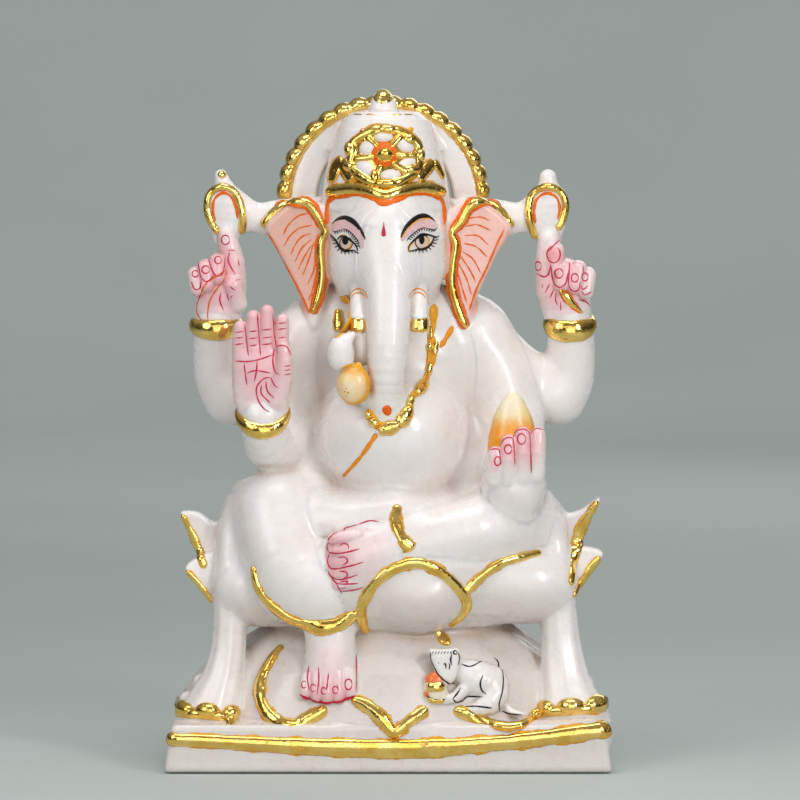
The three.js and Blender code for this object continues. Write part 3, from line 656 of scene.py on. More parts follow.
def sweets(stone):
    stone.add("trunk_sweet", ball((-15.4, -46, 173.2), (7.7, 6.6, 9), 0.5),
              ball((-13.4, -46, 181), (2, 2, 2.4), 1.6))
    stone.add("hand_sweet", turned((55.8, -37),
                                   [(11.4, 142), (11, 149), (8.8, 158), (5.6, 165), (2.6, 168.8)],
                                   deep=0.72, edge=2.2, blend=0.6))
    stone.add("mouse_sweet", ball((21.2, -49, 40.4), (4.7, 3.6, 4.6), 1.5),
              ball((21.2, -49, 35.6), (5.2, 4, 5), 2.5))


stone = Stone()
for part in (base, body, feet, hands, head, mouse, sweets):
    part(stone)


# ---------------------------------------------------------------- materials


def material(name):
    """A new node material: its nodes, its links and its Principled shader."""
    made = bpy.data.materials.new(name)
    made.use_nodes = True
    nodes = made.node_tree.nodes
    return made, nodes, made.node_tree.links, nodes["Principled BSDF"]


def noise(nodes, links, scale, detail=3.0, distort=0.0):
    """Noise over the object's own coordinates, scale lumps to a metre."""
    place = nodes.new("ShaderNodeTexCoord")
    texture = nodes.new("ShaderNodeTexNoise")
    texture.inputs["Scale"].default_value = scale
    texture.inputs["Detail"].default_value = detail
    texture.inputs["Distortion"].default_value = distort
    links.new(place.outputs["Object"], texture.inputs["Vector"])
    return texture.outputs["Fac"]


def ramp(nodes, links, factor, stops):
    """A colour ramp from (position, colour) stops."""
    node = nodes.new("ShaderNodeValToRGB")
    elements = node.color_ramp.elements
    while len(elements) < len(stops):
        elements.new(0.5)
    for element, (position, colour) in zip(elements, stops):
        element.position = position
        element.color = (*colour, 1)
    links.new(factor, node.inputs["Fac"])
    return node.outputs["Color"]


def mix(nodes, links, factor, a, b):
    """Colour a turned into colour b by factor. Each may be a socket or a value."""
    node = nodes.new("ShaderNodeMix")
    node.data_type = "RGBA"
    for socket, value in zip((node.inputs[0], node.inputs[6], node.inputs[7]), (factor, a, b)):
        if hasattr(value, "is_output"):
            links.new(value, socket)
        else:
            socket.default_value = value if np.isscalar(value) else (*value, 1)
    return node.outputs[2]


def bump(nodes, links, shader, height, depth_mm):
    node = nodes.new("ShaderNodeBump")
    node.inputs["Strength"].default_value = 1.0
    node.inputs["Distance"].default_value = depth_mm * MM
    links.new(height, node.inputs["Height"])
    links.new(node.outputs["Normal"], shader.inputs["Normal"])


def attribute(nodes, name, output):
    node = nodes.new("ShaderNodeAttribute")
    node.attribute_name = name
    return node.outputs[output]


def marble_material():
    """Polished white marble: faint clouds, painted shade in its creases and recesses, and the washes of
    paint and painted shade on it.
    """
    made, nodes, links, shader = material("polished_marble")
    clouds = ramp(nodes, links, noise(nodes, links, 45, 5, 0.6),
                  [(0.3, (0.79, 0.735, 0.715)), (0.5, (0.815, 0.77, 0.755)), (0.72, (0.835, 0.80, 0.79))])
    veins = ramp(nodes, links, noise(nodes, links, 16, 8, 2.5),
                 [(0.47, (0, 0, 0)), (0.5, (1, 1, 1)), (0.53, (0, 0, 0))])
    faint = nodes.new("ShaderNodeMath")
    faint.operation = "MULTIPLY"
    faint.inputs[1].default_value = 0.05
    links.new(veins, faint.inputs[0])
    stone_colour = mix(nodes, links, faint.outputs[0], clouds, (0.66, 0.60, 0.56))
    # painted shade: the marble turns a darker warm beige where it is enclosed, in creases and recesses
    painted_hollow_shade = ramp(nodes, links, attribute(nodes, "hollow_shade", "Fac"),
                   [(0.30, (0, 0, 0)), (0.62, (0.45, 0.45, 0.45)), (0.95, (1, 1, 1))])
    stone_colour = mix(nodes, links, painted_hollow_shade, stone_colour, (0.62, 0.50, 0.41))
    painted = mix(nodes, links, attribute(nodes, "paint_and_shade", "Alpha"), stone_colour,
                  attribute(nodes, "paint_and_shade", "Color"))
    links.new(painted, shader.inputs["Base Color"])
    gloss = ramp(nodes, links, noise(nodes, links, 220, 4), [(0.35, (0.24,) * 3), (0.7, (0.36,) * 3)])
    links.new(gloss, shader.inputs["Roughness"])
    shader.inputs["Subsurface Weight"].default_value = 0.5
    shader.inputs["Subsurface Radius"].default_value = (1.0, 0.78, 0.66)
    shader.inputs["Subsurface Scale"].default_value = 0.0017
    shader.inputs["Coat Weight"].default_value = 0.15
    shader.inputs["Coat Roughness"].default_value = 0.06
    bump(nodes, links, shader, noise(nodes, links, 260, 4, 0.3), 0.10)
    return made


def gold_material():
    """Burnished gold leaf: mirror bright, finely wrinkled, with worn specks of its yellow ground."""
    made, nodes, links, shader = material("gold_leaf")
    worn = ramp(nodes, links, noise(nodes, links, 520, 6, 1.2), [(0.60, (0, 0, 0)), (0.68, (1, 1, 1))])
    tone = ramp(nodes, links, noise(nodes, links, 120, 3),
                [(0.35, (0.84, 0.51, 0.10)), (0.65, (0.98, 0.71, 0.22))])
    links.new(mix(nodes, links, worn, tone, (0.80, 0.46, 0.05)), shader.inputs["Base Color"])
    links.new(ramp(nodes, links, worn, [(0, (1,) * 3), (1, (0.35,) * 3)]), shader.inputs["Metallic"])
    links.new(ramp(nodes, links, worn, [(0, (0.13,) * 3), (1, (0.42,) * 3)]), shader.inputs["Roughness"])
    bump(nodes, links, shader, noise(nodes, links, 380, 4, 1.0), 0.08)
    return made


def paint_material(name, colour, deep, roughness=0.42):
    """Brushed-on paint, thicker and darker in patches."""
    made, nodes, links, shader = material(name)
    shade = ramp(nodes, links, noise(nodes, links, 900, 3), [(0.35, deep), (0.62, colour)])
    links.new(shade, shader.inputs["Base Color"])
    shader.inputs["Roughness"].default_value = roughness
    shader.inputs["Specular IOR Level"].default_value = 0.25
    return made


MARBLE = marble_material()
GOLD = gold_material()

PINK = (0.80, 0.31, 0.36)
PEACH = (0.84, 0.36, 0.27)
# the right ear's peach, darker than the left's: painted shade on that ear
SHADED_EAR_PEACH = (0.72, 0.30, 0.19)
BLUSH = (0.80, 0.46, 0.48)
# a beige of painted shade, for recesses, the chest behind the blessing hand, under the belly and the
# lower stone
SHADE_BEIGE = (0.48, 0.39, 0.33)
AMBER = (0.80, 0.36, 0.03)
STRAW = (0.83, 0.63, 0.28)
CREAM = (0.86, 0.77, 0.60)
APRICOT = (0.86, 0.62, 0.34)
MARIGOLD = (0.86, 0.34, 0.02)
FLAME = (0.82, 0.16, 0.02)

# Soft patches of paint on each piece, and beige patches of painted shade, laid in order. Each is a
# colour, its middle (x, z), its radii along x and z, its strength, and the share of its radii over which
# it is full.
PAINT_AND_SHADE_PATCHES = {
    "front_right_hand": [(PINK, (-56.5, 191), (22, 44), 0.64, 0.35)],
    "front_left_hand": [(PINK, (57.5, 150), (20, 19), 0.62, 0.3), (PINK, (47.5, 139), (4, 8), 0.5, 0.2)],
    "rear_right_hand": [(PINK, (-77.5, 221), (18, 27), 0.66, 0.3)],
    "rear_left_hand": [(PINK, (79, 220), (19, 25), 0.62, 0.3),
                       (PINK, (74.8, 230.2), (3.4, 4.2), 0.7, 0.7)],
    "right_foot": [(PINK, (-27, 32), (20, 17), 0.62, 0.25), (BLUSH, (-27, 40), (16, 30), 0.35, 0.3)],
    "left_foot": [(PINK, (-24, 96), (13, 21), 0.62, 0.25), (BLUSH, (-12, 97), (20, 22), 0.4, 0.2)],
    # the right ear is washed in a darker peach than the left: painted shade
    "ear_right": [(SHADED_EAR_PEACH, (-41, 229), (20, 32), 0.68, 0.7)],
    "ear_left": [(PEACH, (41, 229), (20, 32), 0.68, 0.7)],
    "head": [(FLAME, (-27.6, 247), (3, 9), 0.7, 0.1), (FLAME, (25.6, 247), (3, 9), 0.7, 0.1)],
    # the beige patches below are painted shade: on the chest behind the blessing hand, under the belly,
    # in the recess by the trunk's tip, and darker towards the lower seat, pedestal and plinth
    "torso": [(SHADE_BEIGE, (-28, 168), (26, 36), 0.3, 0.2), (SHADE_BEIGE, (4, 146), (60, 30), 0.14, 0.5)],
    "trunk": [(SHADE_BEIGE, (-12.4, 189.6), (4.4, 8), 0.5, 0.7)],
    "plinth": [(SHADE_BEIGE, (0, 10), (140, 30), 0.25, 0.8)],
    "pedestal": [(SHADE_BEIGE, (0, 40), (140, 50), 0.32, 0.8)],
    "lotus_seat": [(SHADE_BEIGE, (0, 60), (140, 34), 0.34, 0.4)],
    "trunk_sweet": [(AMBER, (-15, 173), (30, 30), 0.95, 1),
                    (APRICOT, (-16.9, 173.2), (9, 9.8), 0.95, 0.6),
                    (CREAM, (-17.6, 171.6), (5, 6), 0.6, 0.2), (AMBER, (-16, 181), (9, 4.4), 0.9, 0.3),
                    (STRAW, (-19, 176.4), (4.2, 2.4), 0.85, 0.4)],
    "hand_sweet": [(AMBER, (50, 142), (40, 40), 0.92, 1), (STRAW, (54.6, 162), (20, 12), 0.9, 0.35),
                   (CREAM, (54.2, 167), (11, 14), 0.95, 0.2), (MARIGOLD, (46, 149), (10, 11), 0.85, 0.35),
                   (MARIGOLD, (57, 153), (9, 7), 0.8, 0.2)],
    "mouse_sweet": [(CREAM, (21, 37), (20, 20), 1.0, 1), (FLAME, (20, 43), (7, 3.6), 0.95, 0.8),
                    (FLAME, (17, 35), (2.2, 2.6), 0.9, 0.3)],
}


def painted_and_shaded(patches):
    """The paint and painted shade laid on a piece, as a function of its points."""
    def paint_and_shade(points):
        paint = np.zeros((len(points), 3))
        cover = np.zeros((len(points), 1))
        for tone, (x, z), (rx, rz), strength, core in patches:
            far = np.hypot((points[:, 0] - x) / rx, (points[:, 2] - z) / rz)
            amount = strength * (1 - smooth_step(min(core, 0.98), 1, far))[:, None]
            paint = paint * (1 - amount) + np.array(tone) * amount
            cover = cover * (1 - amount) + amount
        return np.hstack([paint / np.maximum(cover, 1e-4), cover])

    return paint_and_shade


SLOTS = {n["node"]: n["material_slot"] for n in frame["record"]["subparts"]}
# the size of the grid on which each piece is sculpted, in mm
VOXELS = {
    "plinth": 1.2, "pedestal": 1.0, "lotus_seat": 1.0, "torso": 1.0, "belly": 0.9, "left_leg": 0.9,
    "right_leg": 0.9, "halo": 0.8, "front_right_hand": 0.45, "front_left_hand": 0.45,
    "rear_right_hand": 0.45, "rear_left_hand": 0.45, "right_foot": 0.45, "left_foot": 0.45, "mouse": 0.4,
}
USUAL_VOXEL = 0.7
shells = [sculpted(stone, name, VOXELS.get(name, USUAL_VOXEL), MARBLE, SLOTS[name],
                   painted_and_shaded(PAINT_AND_SHADE_PATCHES.get(name, [])))
          for name in stone.pieces()]


# ---------------------------------------------------------------- gold and painted lines


class Skin:
    """The finished surface of the stone, on which the gold and the paint are laid."""

    def __init__(self, shells):
        starts = np.cumsum([0] + [len(points) for points, _, _ in shells])
        self.normals = np.vstack([normals for _, _, normals in shells])
        self.faces = np.vstack([faces + start for (_, faces, _), start in zip(shells, starts)])
        points = np.vstack([points for points, _, _ in shells])
        self.tree = BVHTree.FromPolygons(points.tolist(), self.faces.tolist())

    def front(self, places):
        """Points on the stone's front at each (x, z): the first surface met going back."""
        found = []
        for x, z in places:
            hit = self.tree.ray_cast(Vector((x, FRONT_START, z)), Vector((0, 1, 0)), RAY_LENGTH)[0]
            found.append(hit.y if hit else math.nan)
        deep = np.array(found)
        seen = ~np.isnan(deep)
        if seen.any() and not seen.all():
            order = np.arange(len(deep))
            deep[~seen] = np.interp(order[~seen], order[seen], deep[seen])
        places = np.array(places, float)
        return np.stack([places[:, 0], deep, places[:, 1]], axis=1)

    def settle(self, points):
        """The nearest points of the surface, and its normals there."""
        near = [self.tree.find_nearest(Vector(point)) for point in points]
        places = np.array([hit[0] for hit in near])
        normals = np.array([self.normals[self.faces[hit[2]]].mean(0) for hit in near])
        return places, normals / np.maximum(np.linalg.norm(normals, axis=1, keepdims=True), 1e-9)


def eased(values, rounds=2):
    """Rows smoothed along a path, with its ends kept."""
    for _ in range(rounds):
        values[1:-1] = (values[:-2] + 2 * values[1:-1] + values[2:]) / 4
    return values


def unbroken(depths, step):
    """Depths along a path, without the sudden drops where it slips off an edge."""
    for order in (range(1, len(depths)), range(len(depths) - 1, 0, -1)):
        for i in order:
            here, there = (i, i - 1) if order.step > 0 else (i - 1, i)
            depths[here] = min(depths[here], depths[there] + STEEPEST * step)
    return depths


def wander(count, phase, size):
    """A slow hand-made unevenness along a path of count rows."""
    t = np.arange(count)
    wave = np.sin(t * 0.37 + phase) + 0.6 * np.sin(t * 0.83 + 2.1 * phase) + 0.4 * np.sin(t * 1.9 + phase)
    return 1 + size * wave


def ribbon(path, half, height, step=0.7, sink=SUNK, taper=1.5, uneven=0.035, sides=7, lift=0.0,
           closed=False):
    """Points and faces of a closed rounded band over the stone.

    path is (x, z) rows seen from the front, or (x, y, z) rows near the surface. half is half the
    band's width, one number or one for each row, and taper is how far from its ends it narrows.
    """
    path = np.array(path, float)
    widths = np.full(len(path), half, float) if np.isscalar(half) else np.array(half, float)
    rows = np.column_stack([path, widths])
    fine = evenly(spline(rows, 6, closed) if len(path) > 2 else rows, step)
    centre, widths = fine[:, :-1], np.maximum(fine[:, -1], 0.02)
    if centre.shape[1] == 2:
        centre = skin.front(centre)
        centre[:, 1] = eased(unbroken(centre[:, 1].copy(), step))
    centre, normals = skin.settle(centre)
    normals = eased(normals.copy(), 3)
    normals /= np.linalg.norm(normals, axis=1, keepdims=True)
    side = np.cross(np.gradient(centre, axis=0), normals)
    side /= np.maximum(np.linalg.norm(side, axis=1, keepdims=True), 1e-9)
    count = len(centre)
    far = np.minimum(np.arange(count), np.arange(count)[::-1]) * step
    narrow = np.ones(count) if closed else np.sqrt(np.clip((far + 0.15) / max(taper, 0.01), 0.02, 1))
    phase = float(abs(path).sum()) % 6.28  # each path wanders in its own way
    widths = widths * narrow * wander(count, phase, uneven)
    tall = height * np.minimum(narrow * 1.2, 1) * wander(count, phase + 2, uneven)
    ring = np.linspace(-0.12 * math.pi, 1.12 * math.pi, sides)
    across, up = np.cos(ring), np.sin(ring)
    up = np.where(up < 0, -sink / max(height, 1e-6), up)
    sideways = side[:, None] * (across[None, :] * widths[:, None])[..., None]
    outward = normals[:, None] * (up[None, :] * tall[:, None] + lift)[..., None]
    points = (centre[:, None] + sideways + outward).reshape(-1, 3)
    return points, walls(count, sides, closed)


def walls(rows, sides, closed):
    """Quads of a tube with so many rows of so many points, capped at both ends unless it closes."""
    faces = []
    for i in range(rows if closed else rows - 1):
        a, b = i * sides, (i + 1) % rows * sides
        faces += [(a + j, a + (j + 1) % sides, b + (j + 1) % sides, b + j) for j in range(sides)]
    if not closed:
        faces += [tuple(range(sides))[::-1], tuple(range((rows - 1) * sides, rows * sides))]
    return faces


def sleeve(centres, outward, thick, upward, tall, closed=False, sides=16):
    """A tube of oval section: at each centre, thick along outward and tall along upward."""
    around = np.linspace(0, 2 * math.pi, sides, endpoint=False)
    across = np.outer(thick, np.cos(around))
    up = np.outer(tall, np.sin(around))
    points = centres[:, None] + outward[:, None] * across[..., None]
    points = (points + upward[:, None] * up[..., None]).reshape(-1, 3)
    x, y, z = points.T
    hand_made = np.stack([np.sin(2.1 * z + y), np.sin(1.7 * x + z), np.sin(1.9 * x + 2.3 * y)], 1)
    return points + 0.10 * hand_made, walls(len(centres), sides, closed)


def joined(parts):
    """One list of points and one of faces from several."""
    points, faces, start = [], [], 0
    for part_points, part_faces in parts:
        points.append(part_points)
        faces += [tuple(start + i for i in face) for face in part_faces]
        start += len(part_points)
    return np.vstack(points), faces


def facing_out(points, faces):
    """The faces turned so that the closed form holds a positive volume."""
    volume = 0.0
    for face in faces:
        a = points[face[0]]
        for b, c in zip(face[1:-1], face[2:]):
            volume += np.dot(a, np.cross(points[b], points[c]))
    return faces if volume > 0 else [face[::-1] for face in faces]


def laid(name, parts, material, slot, *nodes):
    """One object from several closed parts, standing for CAD nodes if it names any."""
    parts = [(points, facing_out(points, faces)) for points, faces in parts]
    piece = make_object(name, *joined(parts), material, slot)
    if nodes:
        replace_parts(piece, *nodes)
    return piece


def widened(half, more):
    return half + more if np.isscalar(half) else [h + more for h in half]


def gilded(name, paths, half, height, *nodes, ground=0.7, **options):
    """Raised gold over the stone, and the yellow ground that shows along its edges."""
    halves = half if isinstance(half, list) and not np.isscalar(half[0]) else [half] * len(paths)
    laid(name, [ribbon(p, h, height, **options) for p, h in zip(paths, halves)], GOLD, "gold_leaf",
         *nodes)
    if ground:
        options = {**options, "sides": 5, "uneven": 0.12}
        grounds = [ribbon(p, widened(h, ground), 0.16, **options) for p, h in zip(paths, halves)]
        laid(name + "_ground", grounds, OCHRE, "gold_leaf")


def lines(name, paths, half, material, slot, height=0.13, **options):
    """Painted brush strokes, pointed at both ends."""
    options = {"step": 0.5, "sides": 5, "taper": 2.2, "uneven": 0.14, "sink": 0.12, **options}
    return laid(name, [ribbon(path, half, height, **options) for path in paths], material, slot)


def spot(place, radii, height=0.25, around=20, tilt=0.0, rings=3):
    """A low round dome on the stone's front at (x, z), closed underneath."""
    turn = math.radians(tilt)
    steps = np.radians(np.linspace(0, 90, rings + 1))[1:]
    points = [place]
    for radius in np.sin(steps):
        for a in np.linspace(0, 2 * math.pi, around, endpoint=False):
            u, v = radius * radii[0] * math.cos(a), radius * radii[1] * math.sin(a)
            points.append((place[0] + u * math.cos(turn) - v * math.sin(turn),
                           place[1] + u * math.sin(turn) + v * math.cos(turn)))
    places, normals = skin.settle(skin.front(points))
    lifts = np.concatenate([[1.0], np.repeat(np.cos(steps), around)]) * height
    faces = [(0, 1 + j, 1 + (j + 1) % around) for j in range(around)]
    for i in range(rings - 1):
        a, b = 1 + i * around, 1 + (i + 1) * around
        faces += [(a + j, b + j, b + (j + 1) % around, a + (j + 1) % around) for j in range(around)]
    count = len(places)
    edge = count - around
    under = [tuple(count + i for i in face[::-1]) for face in faces]
    rim = [(edge + j, edge + (j + 1) % around) for j in range(around)]
    wall = [(a, count + a, count + b, b) for a, b in rim]
    top = places + normals * lifts[:, None]
    return np.vstack([top, places - normals * SUNK]), faces + under + wall


def circle(x, z, rx, rz, start=0, end=360, count=14):
    """(x, z) points on an arc, in degrees."""
    angles = np.radians(np.linspace(start, end, count))
    return [(x + rx * math.cos(a), z + rz * math.sin(a)) for a in angles]


SAFFRON = paint_material("saffron_line", (0.84, 0.31, 0.012), (0.76, 0.25, 0.01))
OCHRE = paint_material("ochre_ground", (0.84, 0.42, 0.02), (0.72, 0.30, 0.01))
ORANGE = paint_material("orange_line", (0.86, 0.16, 0.004), (0.74, 0.11, 0.003))
CRIMSON = paint_material("crimson_line", (0.62, 0.018, 0.07), (0.50, 0.01, 0.045))
BLACK = paint_material("black_line", (0.012, 0.011, 0.012), (0.006, 0.006, 0.006), 0.35)
UMBER = paint_material("umber_line", (0.12, 0.05, 0.015), (0.07, 0.03, 0.01))
EYE_WHITE = paint_material("eye_white", (0.80, 0.70, 0.67), (0.72, 0.62, 0.60), 0.3)
IRIS = paint_material("iris", (0.74, 0.58, 0.50), (0.64, 0.48, 0.40), 0.3)
LID = paint_material("eye_shadow", (0.76, 0.50, 0.51), (0.68, 0.43, 0.45))
PETAL = paint_material("petal_white", (0.80, 0.75, 0.74), (0.74, 0.68, 0.66), 0.3)
skin = Skin(shells)


def stroke(points, height=0.14, lift=0.1, sides=5, uneven=0.04):
    """A brush stroke through points of (x, z, half width)."""
    path = [(x, z) for x, z, _ in points]
    halves = [BRUSH_SPREAD * half for _, _, half in points]
    return ribbon(path, halves, height, step=0.4, sides=sides, taper=0.5, uneven=uneven, lift=lift)


def lashes(lid, iris, longest, shortest, inward=False):
    """Short strokes along a lid line, pointing away from the iris, or towards it."""
    path = evenly(spline([(x, z) for x, z, _ in lid], 6), 1.2)[1:-1]
    strokes = []
    for k, (x, z) in enumerate(path):
        away = np.array([x - iris[0], z - iris[1]]) / math.hypot(x - iris[0], z - iris[1])
        long = longest + (shortest - longest) * k / len(path)
        step = away * long * (-1 if inward else 1)
        tip = (x + step[0], z + step[1], 0.08)
        strokes.append(stroke([(x, z, 0.2), (x + 0.6 * step[0], z + 0.5 * step[1], 0.24), tip]))
    return strokes


def eye(name, iris, radius, pupil, shadow, brow, crease, upper, lower, accents):
    """An eye drawn with a brush, inside a tinted lid."""
    laid(name + "_shadow", [stroke(shadow, 0.05, 0.05, 9, 0.0)], LID, "marble")
    middle = (np.array(upper[len(upper) // 2][:2]) + lower[len(lower) // 2][:2]) / 2
    tilt = 24 if iris[0] > 0 else -36
    laid(name + "_white", [spot(middle, (4.6, 2.5), 0.06, tilt=tilt)], EYE_WHITE, "marble")
    laid(name + "_iris", [spot(iris, (radius, radius), 0.14)], IRIS, "marble")
    ring = circle(*iris, radius, radius, 120, 420, 24)
    laid(name + "_ring", [ribbon(ring, 0.3, 0.1, lift=0.14, taper=0.3)], UMBER, "marble")
    laid(name + "_accents", [stroke(points, 0.12, 0.16) for points in accents], OCHRE, "marble")
    laid(name + "_pupil", [spot(pupil[:2], pupil[2:], 0.3)], BLACK, "marble")
    strokes = [stroke(points) for points in (brow, crease, upper, lower)]
    strokes += lashes(lower, iris, 2.6, 1.2) + lashes(crease, iris, 1.3, 1.6, inward=True)
    laid(name + "_strokes", strokes, BLACK, "marble")


def painted_face():
    """The eyes, the drop on the brow, the line under the crown, and the lines on tusks and sweet."""
    eye("right_eye", (-18.8, 235.9), 2.9, (-19.2, 236.9, 1.6, 2.0),
        [(-25.6, 242.4, 0.7), (-23.6, 243.3, 1.9), (-21, 244, 1.9), (-18.6, 243.9, 1.9),
         (-16.4, 242.7, 1.7), (-14.4, 240.9, 1.6), (-12.8, 238.7, 1.3), (-11.6, 236.3, 0.9),
         (-11.3, 234, 0.3)],
        [(-25.3, 244.1, 0.1), (-23.6, 246, 0.65), (-21.6, 246.9, 0.95), (-19.2, 247.2, 1.05),
         (-16.8, 246.3, 1.05), (-14.8, 244.9, 0.95), (-13, 242.9, 0.8), (-11.4, 240.5, 0.6),
         (-10.2, 237.7, 0.15)],
        [(-25.4, 241.4, 0.06), (-24, 240.8, 0.14), (-21.6, 241.9, 0.2), (-20.2, 242.2, 0.2),
         (-18.2, 241.8, 0.2), (-16.4, 240.6, 0.2), (-14.8, 238.9, 0.2), (-13.6, 237.1, 0.2),
         (-12.4, 233.6, 0.08)],
        [(-22.9, 237.4, 0.2), (-21.2, 238.9, 0.4), (-19.6, 238.9, 0.55), (-18, 238, 0.55),
         (-16.4, 236.9, 0.45), (-15, 235.8, 0.35), (-14.1, 234.4, 0.3), (-13.7, 232.6, 0.3)],
        [(-26, 239.7, 0.08), (-24.6, 238.3, 0.25), (-23.6, 237.1, 0.5), (-22.7, 235.6, 0.6),
         (-21.6, 233.9, 0.6), (-20.2, 232.8, 0.6), (-18.6, 232.4, 0.5), (-16.8, 232.7, 0.35),
         (-15.2, 232.7, 0.25), (-13.2, 231.4, 0.1)],
        [[(-18.2, 233.6, 0.15), (-17, 234.2, 0.4), (-16.3, 235.8, 0.2)],
         [(-21.4, 239.5, 0.2), (-19.4, 239.5, 0.2)]])
    eye("left_eye", (15.2, 236.5), 3.1, (15, 237.5, 1.4, 2.3),
        [(6, 237.2, 0.4), (7.2, 239.2, 0.9), (9, 241.4, 1.2), (11.2, 243.1, 1.5), (13.8, 244.3, 1.8),
         (16.6, 244.8, 1.9), (19.3, 244.4, 1.8), (21.3, 243.4, 1.2), (22.1, 242.4, 0.4)],
        [(5.6, 238.6, 0.15), (6.6, 240.8, 0.6), (8, 243.2, 0.8), (9.8, 245.2, 0.9), (11.8, 246.8, 0.95),
         (13.8, 247.8, 1), (16, 248.2, 1), (18.1, 247.8, 0.85), (19.7, 246.8, 0.5), (21.1, 245.5, 0.1)],
        [(22.2, 242.8, 0.08), (21.3, 241.9, 0.16), (19.9, 241.8, 0.2), (18.1, 242.4, 0.2),
         (16.2, 242.8, 0.2), (14.2, 242.3, 0.2), (12.4, 241.2, 0.2), (10.6, 239.8, 0.2), (9, 238.4, 0.16),
         (8.2, 237, 0.08)],
        [(8.9, 232.5, 0.2), (9.2, 234.6, 0.3), (10.6, 236.4, 0.35), (12.2, 237.9, 0.5), (13.8, 239, 0.7),
         (15, 239.6, 0.75), (16.6, 239.8, 0.55), (18.1, 239.6, 0.4), (20.3, 238.9, 0.35),
         (21.8, 238.1, 0.1)],
        [(21.4, 239.2, 0.1), (20.4, 238, 0.3), (19.8, 236.4, 0.4), (18.6, 234.9, 0.5),
         (16.8, 233.7, 0.55), (15, 233.2, 0.5), (13.4, 233.3, 0.4), (11.6, 233, 0.2), (9.2, 232.7, 0.1)],
        [[(5.9, 238.1, 0.1), (7.1, 240.3, 0.25), (9.5, 243.4, 0.25), (13, 245.9, 0.25),
          (17.7, 246.9, 0.25), (19.6, 246.2, 0.1)],
         [(9.3, 232, 0.25), (9.6, 234.4, 0.25), (11.4, 236.4, 0.25)],
         [(17.4, 234.6, 0.2), (18.3, 236.6, 0.4), (17.6, 238.8, 0.2)]])
    laid("tilak", [ribbon([(-2, 245.6), (-2, 243), (-2, 240.6), (-2, 239.2)], [0.12, 0.6, 1.05, 0.9],
                          0.15, step=0.4, taper=0.5)], CRIMSON, "marble")
    band = [(-27.6, 244), (-27.6, 251), (-26, 255.4), (-19, 257.2), (-12, 257.6), (-6, 255.6),
            (-1.4, 254), (4.6, 255.6), (10.6, 257.8), (17.6, 257.8), (23.4, 255.8), (25.2, 251),
            (25.4, 244)]
    band_halves = [1.1, 1.5, 1.6, 1.3, 1.0, 1.3, 1.8, 1.3, 1.0, 1.1, 1.5, 1.5, 1.3]
    lines("crown_outline", [band], band_halves, ORANGE, "orange_paint", height=0.3)
    arcs = [circle(x, 210.6, 3.3 + grow, 3.4 + 1.9 * grow, 12, 168, 8)
            for x in (-13.2, 13.4) for grow in (0, 0.9)]
    rim = [(-20.8, 180.6), (-16.4, 182), (-11.6, 179.8), (-8.9, 174.6), (-9.4, 168.8), (-13, 165.2),
           (-18.4, 164.8), (-21.8, 167.4)]
    lines("sweet_rim", [rim], [0.6, 1.2, 1.0, 1.1, 1.5, 1.2, 1.0, 0.4], OCHRE, "orange_paint", taper=1)
    specks = [(-20.6, 171.6, 0.4), (-19.4, 170.4, 0.6), (-18.6, 171.8, 0.4), (-17.8, 169.9, 0.7),
              (-20.2, 173.4, 0.3), (-16.8, 171, 0.3), (-18.6, 168.6, 0.4)]
    laid("sweet_specks", [spot((x, z), (size, 0.7 * size), 0.12, around=8) for x, z, size in specks],
         OCHRE, "orange_paint")
    lines("tusk_arcs", arcs, 0.42, SAFFRON, "orange_paint", taper=1.4)


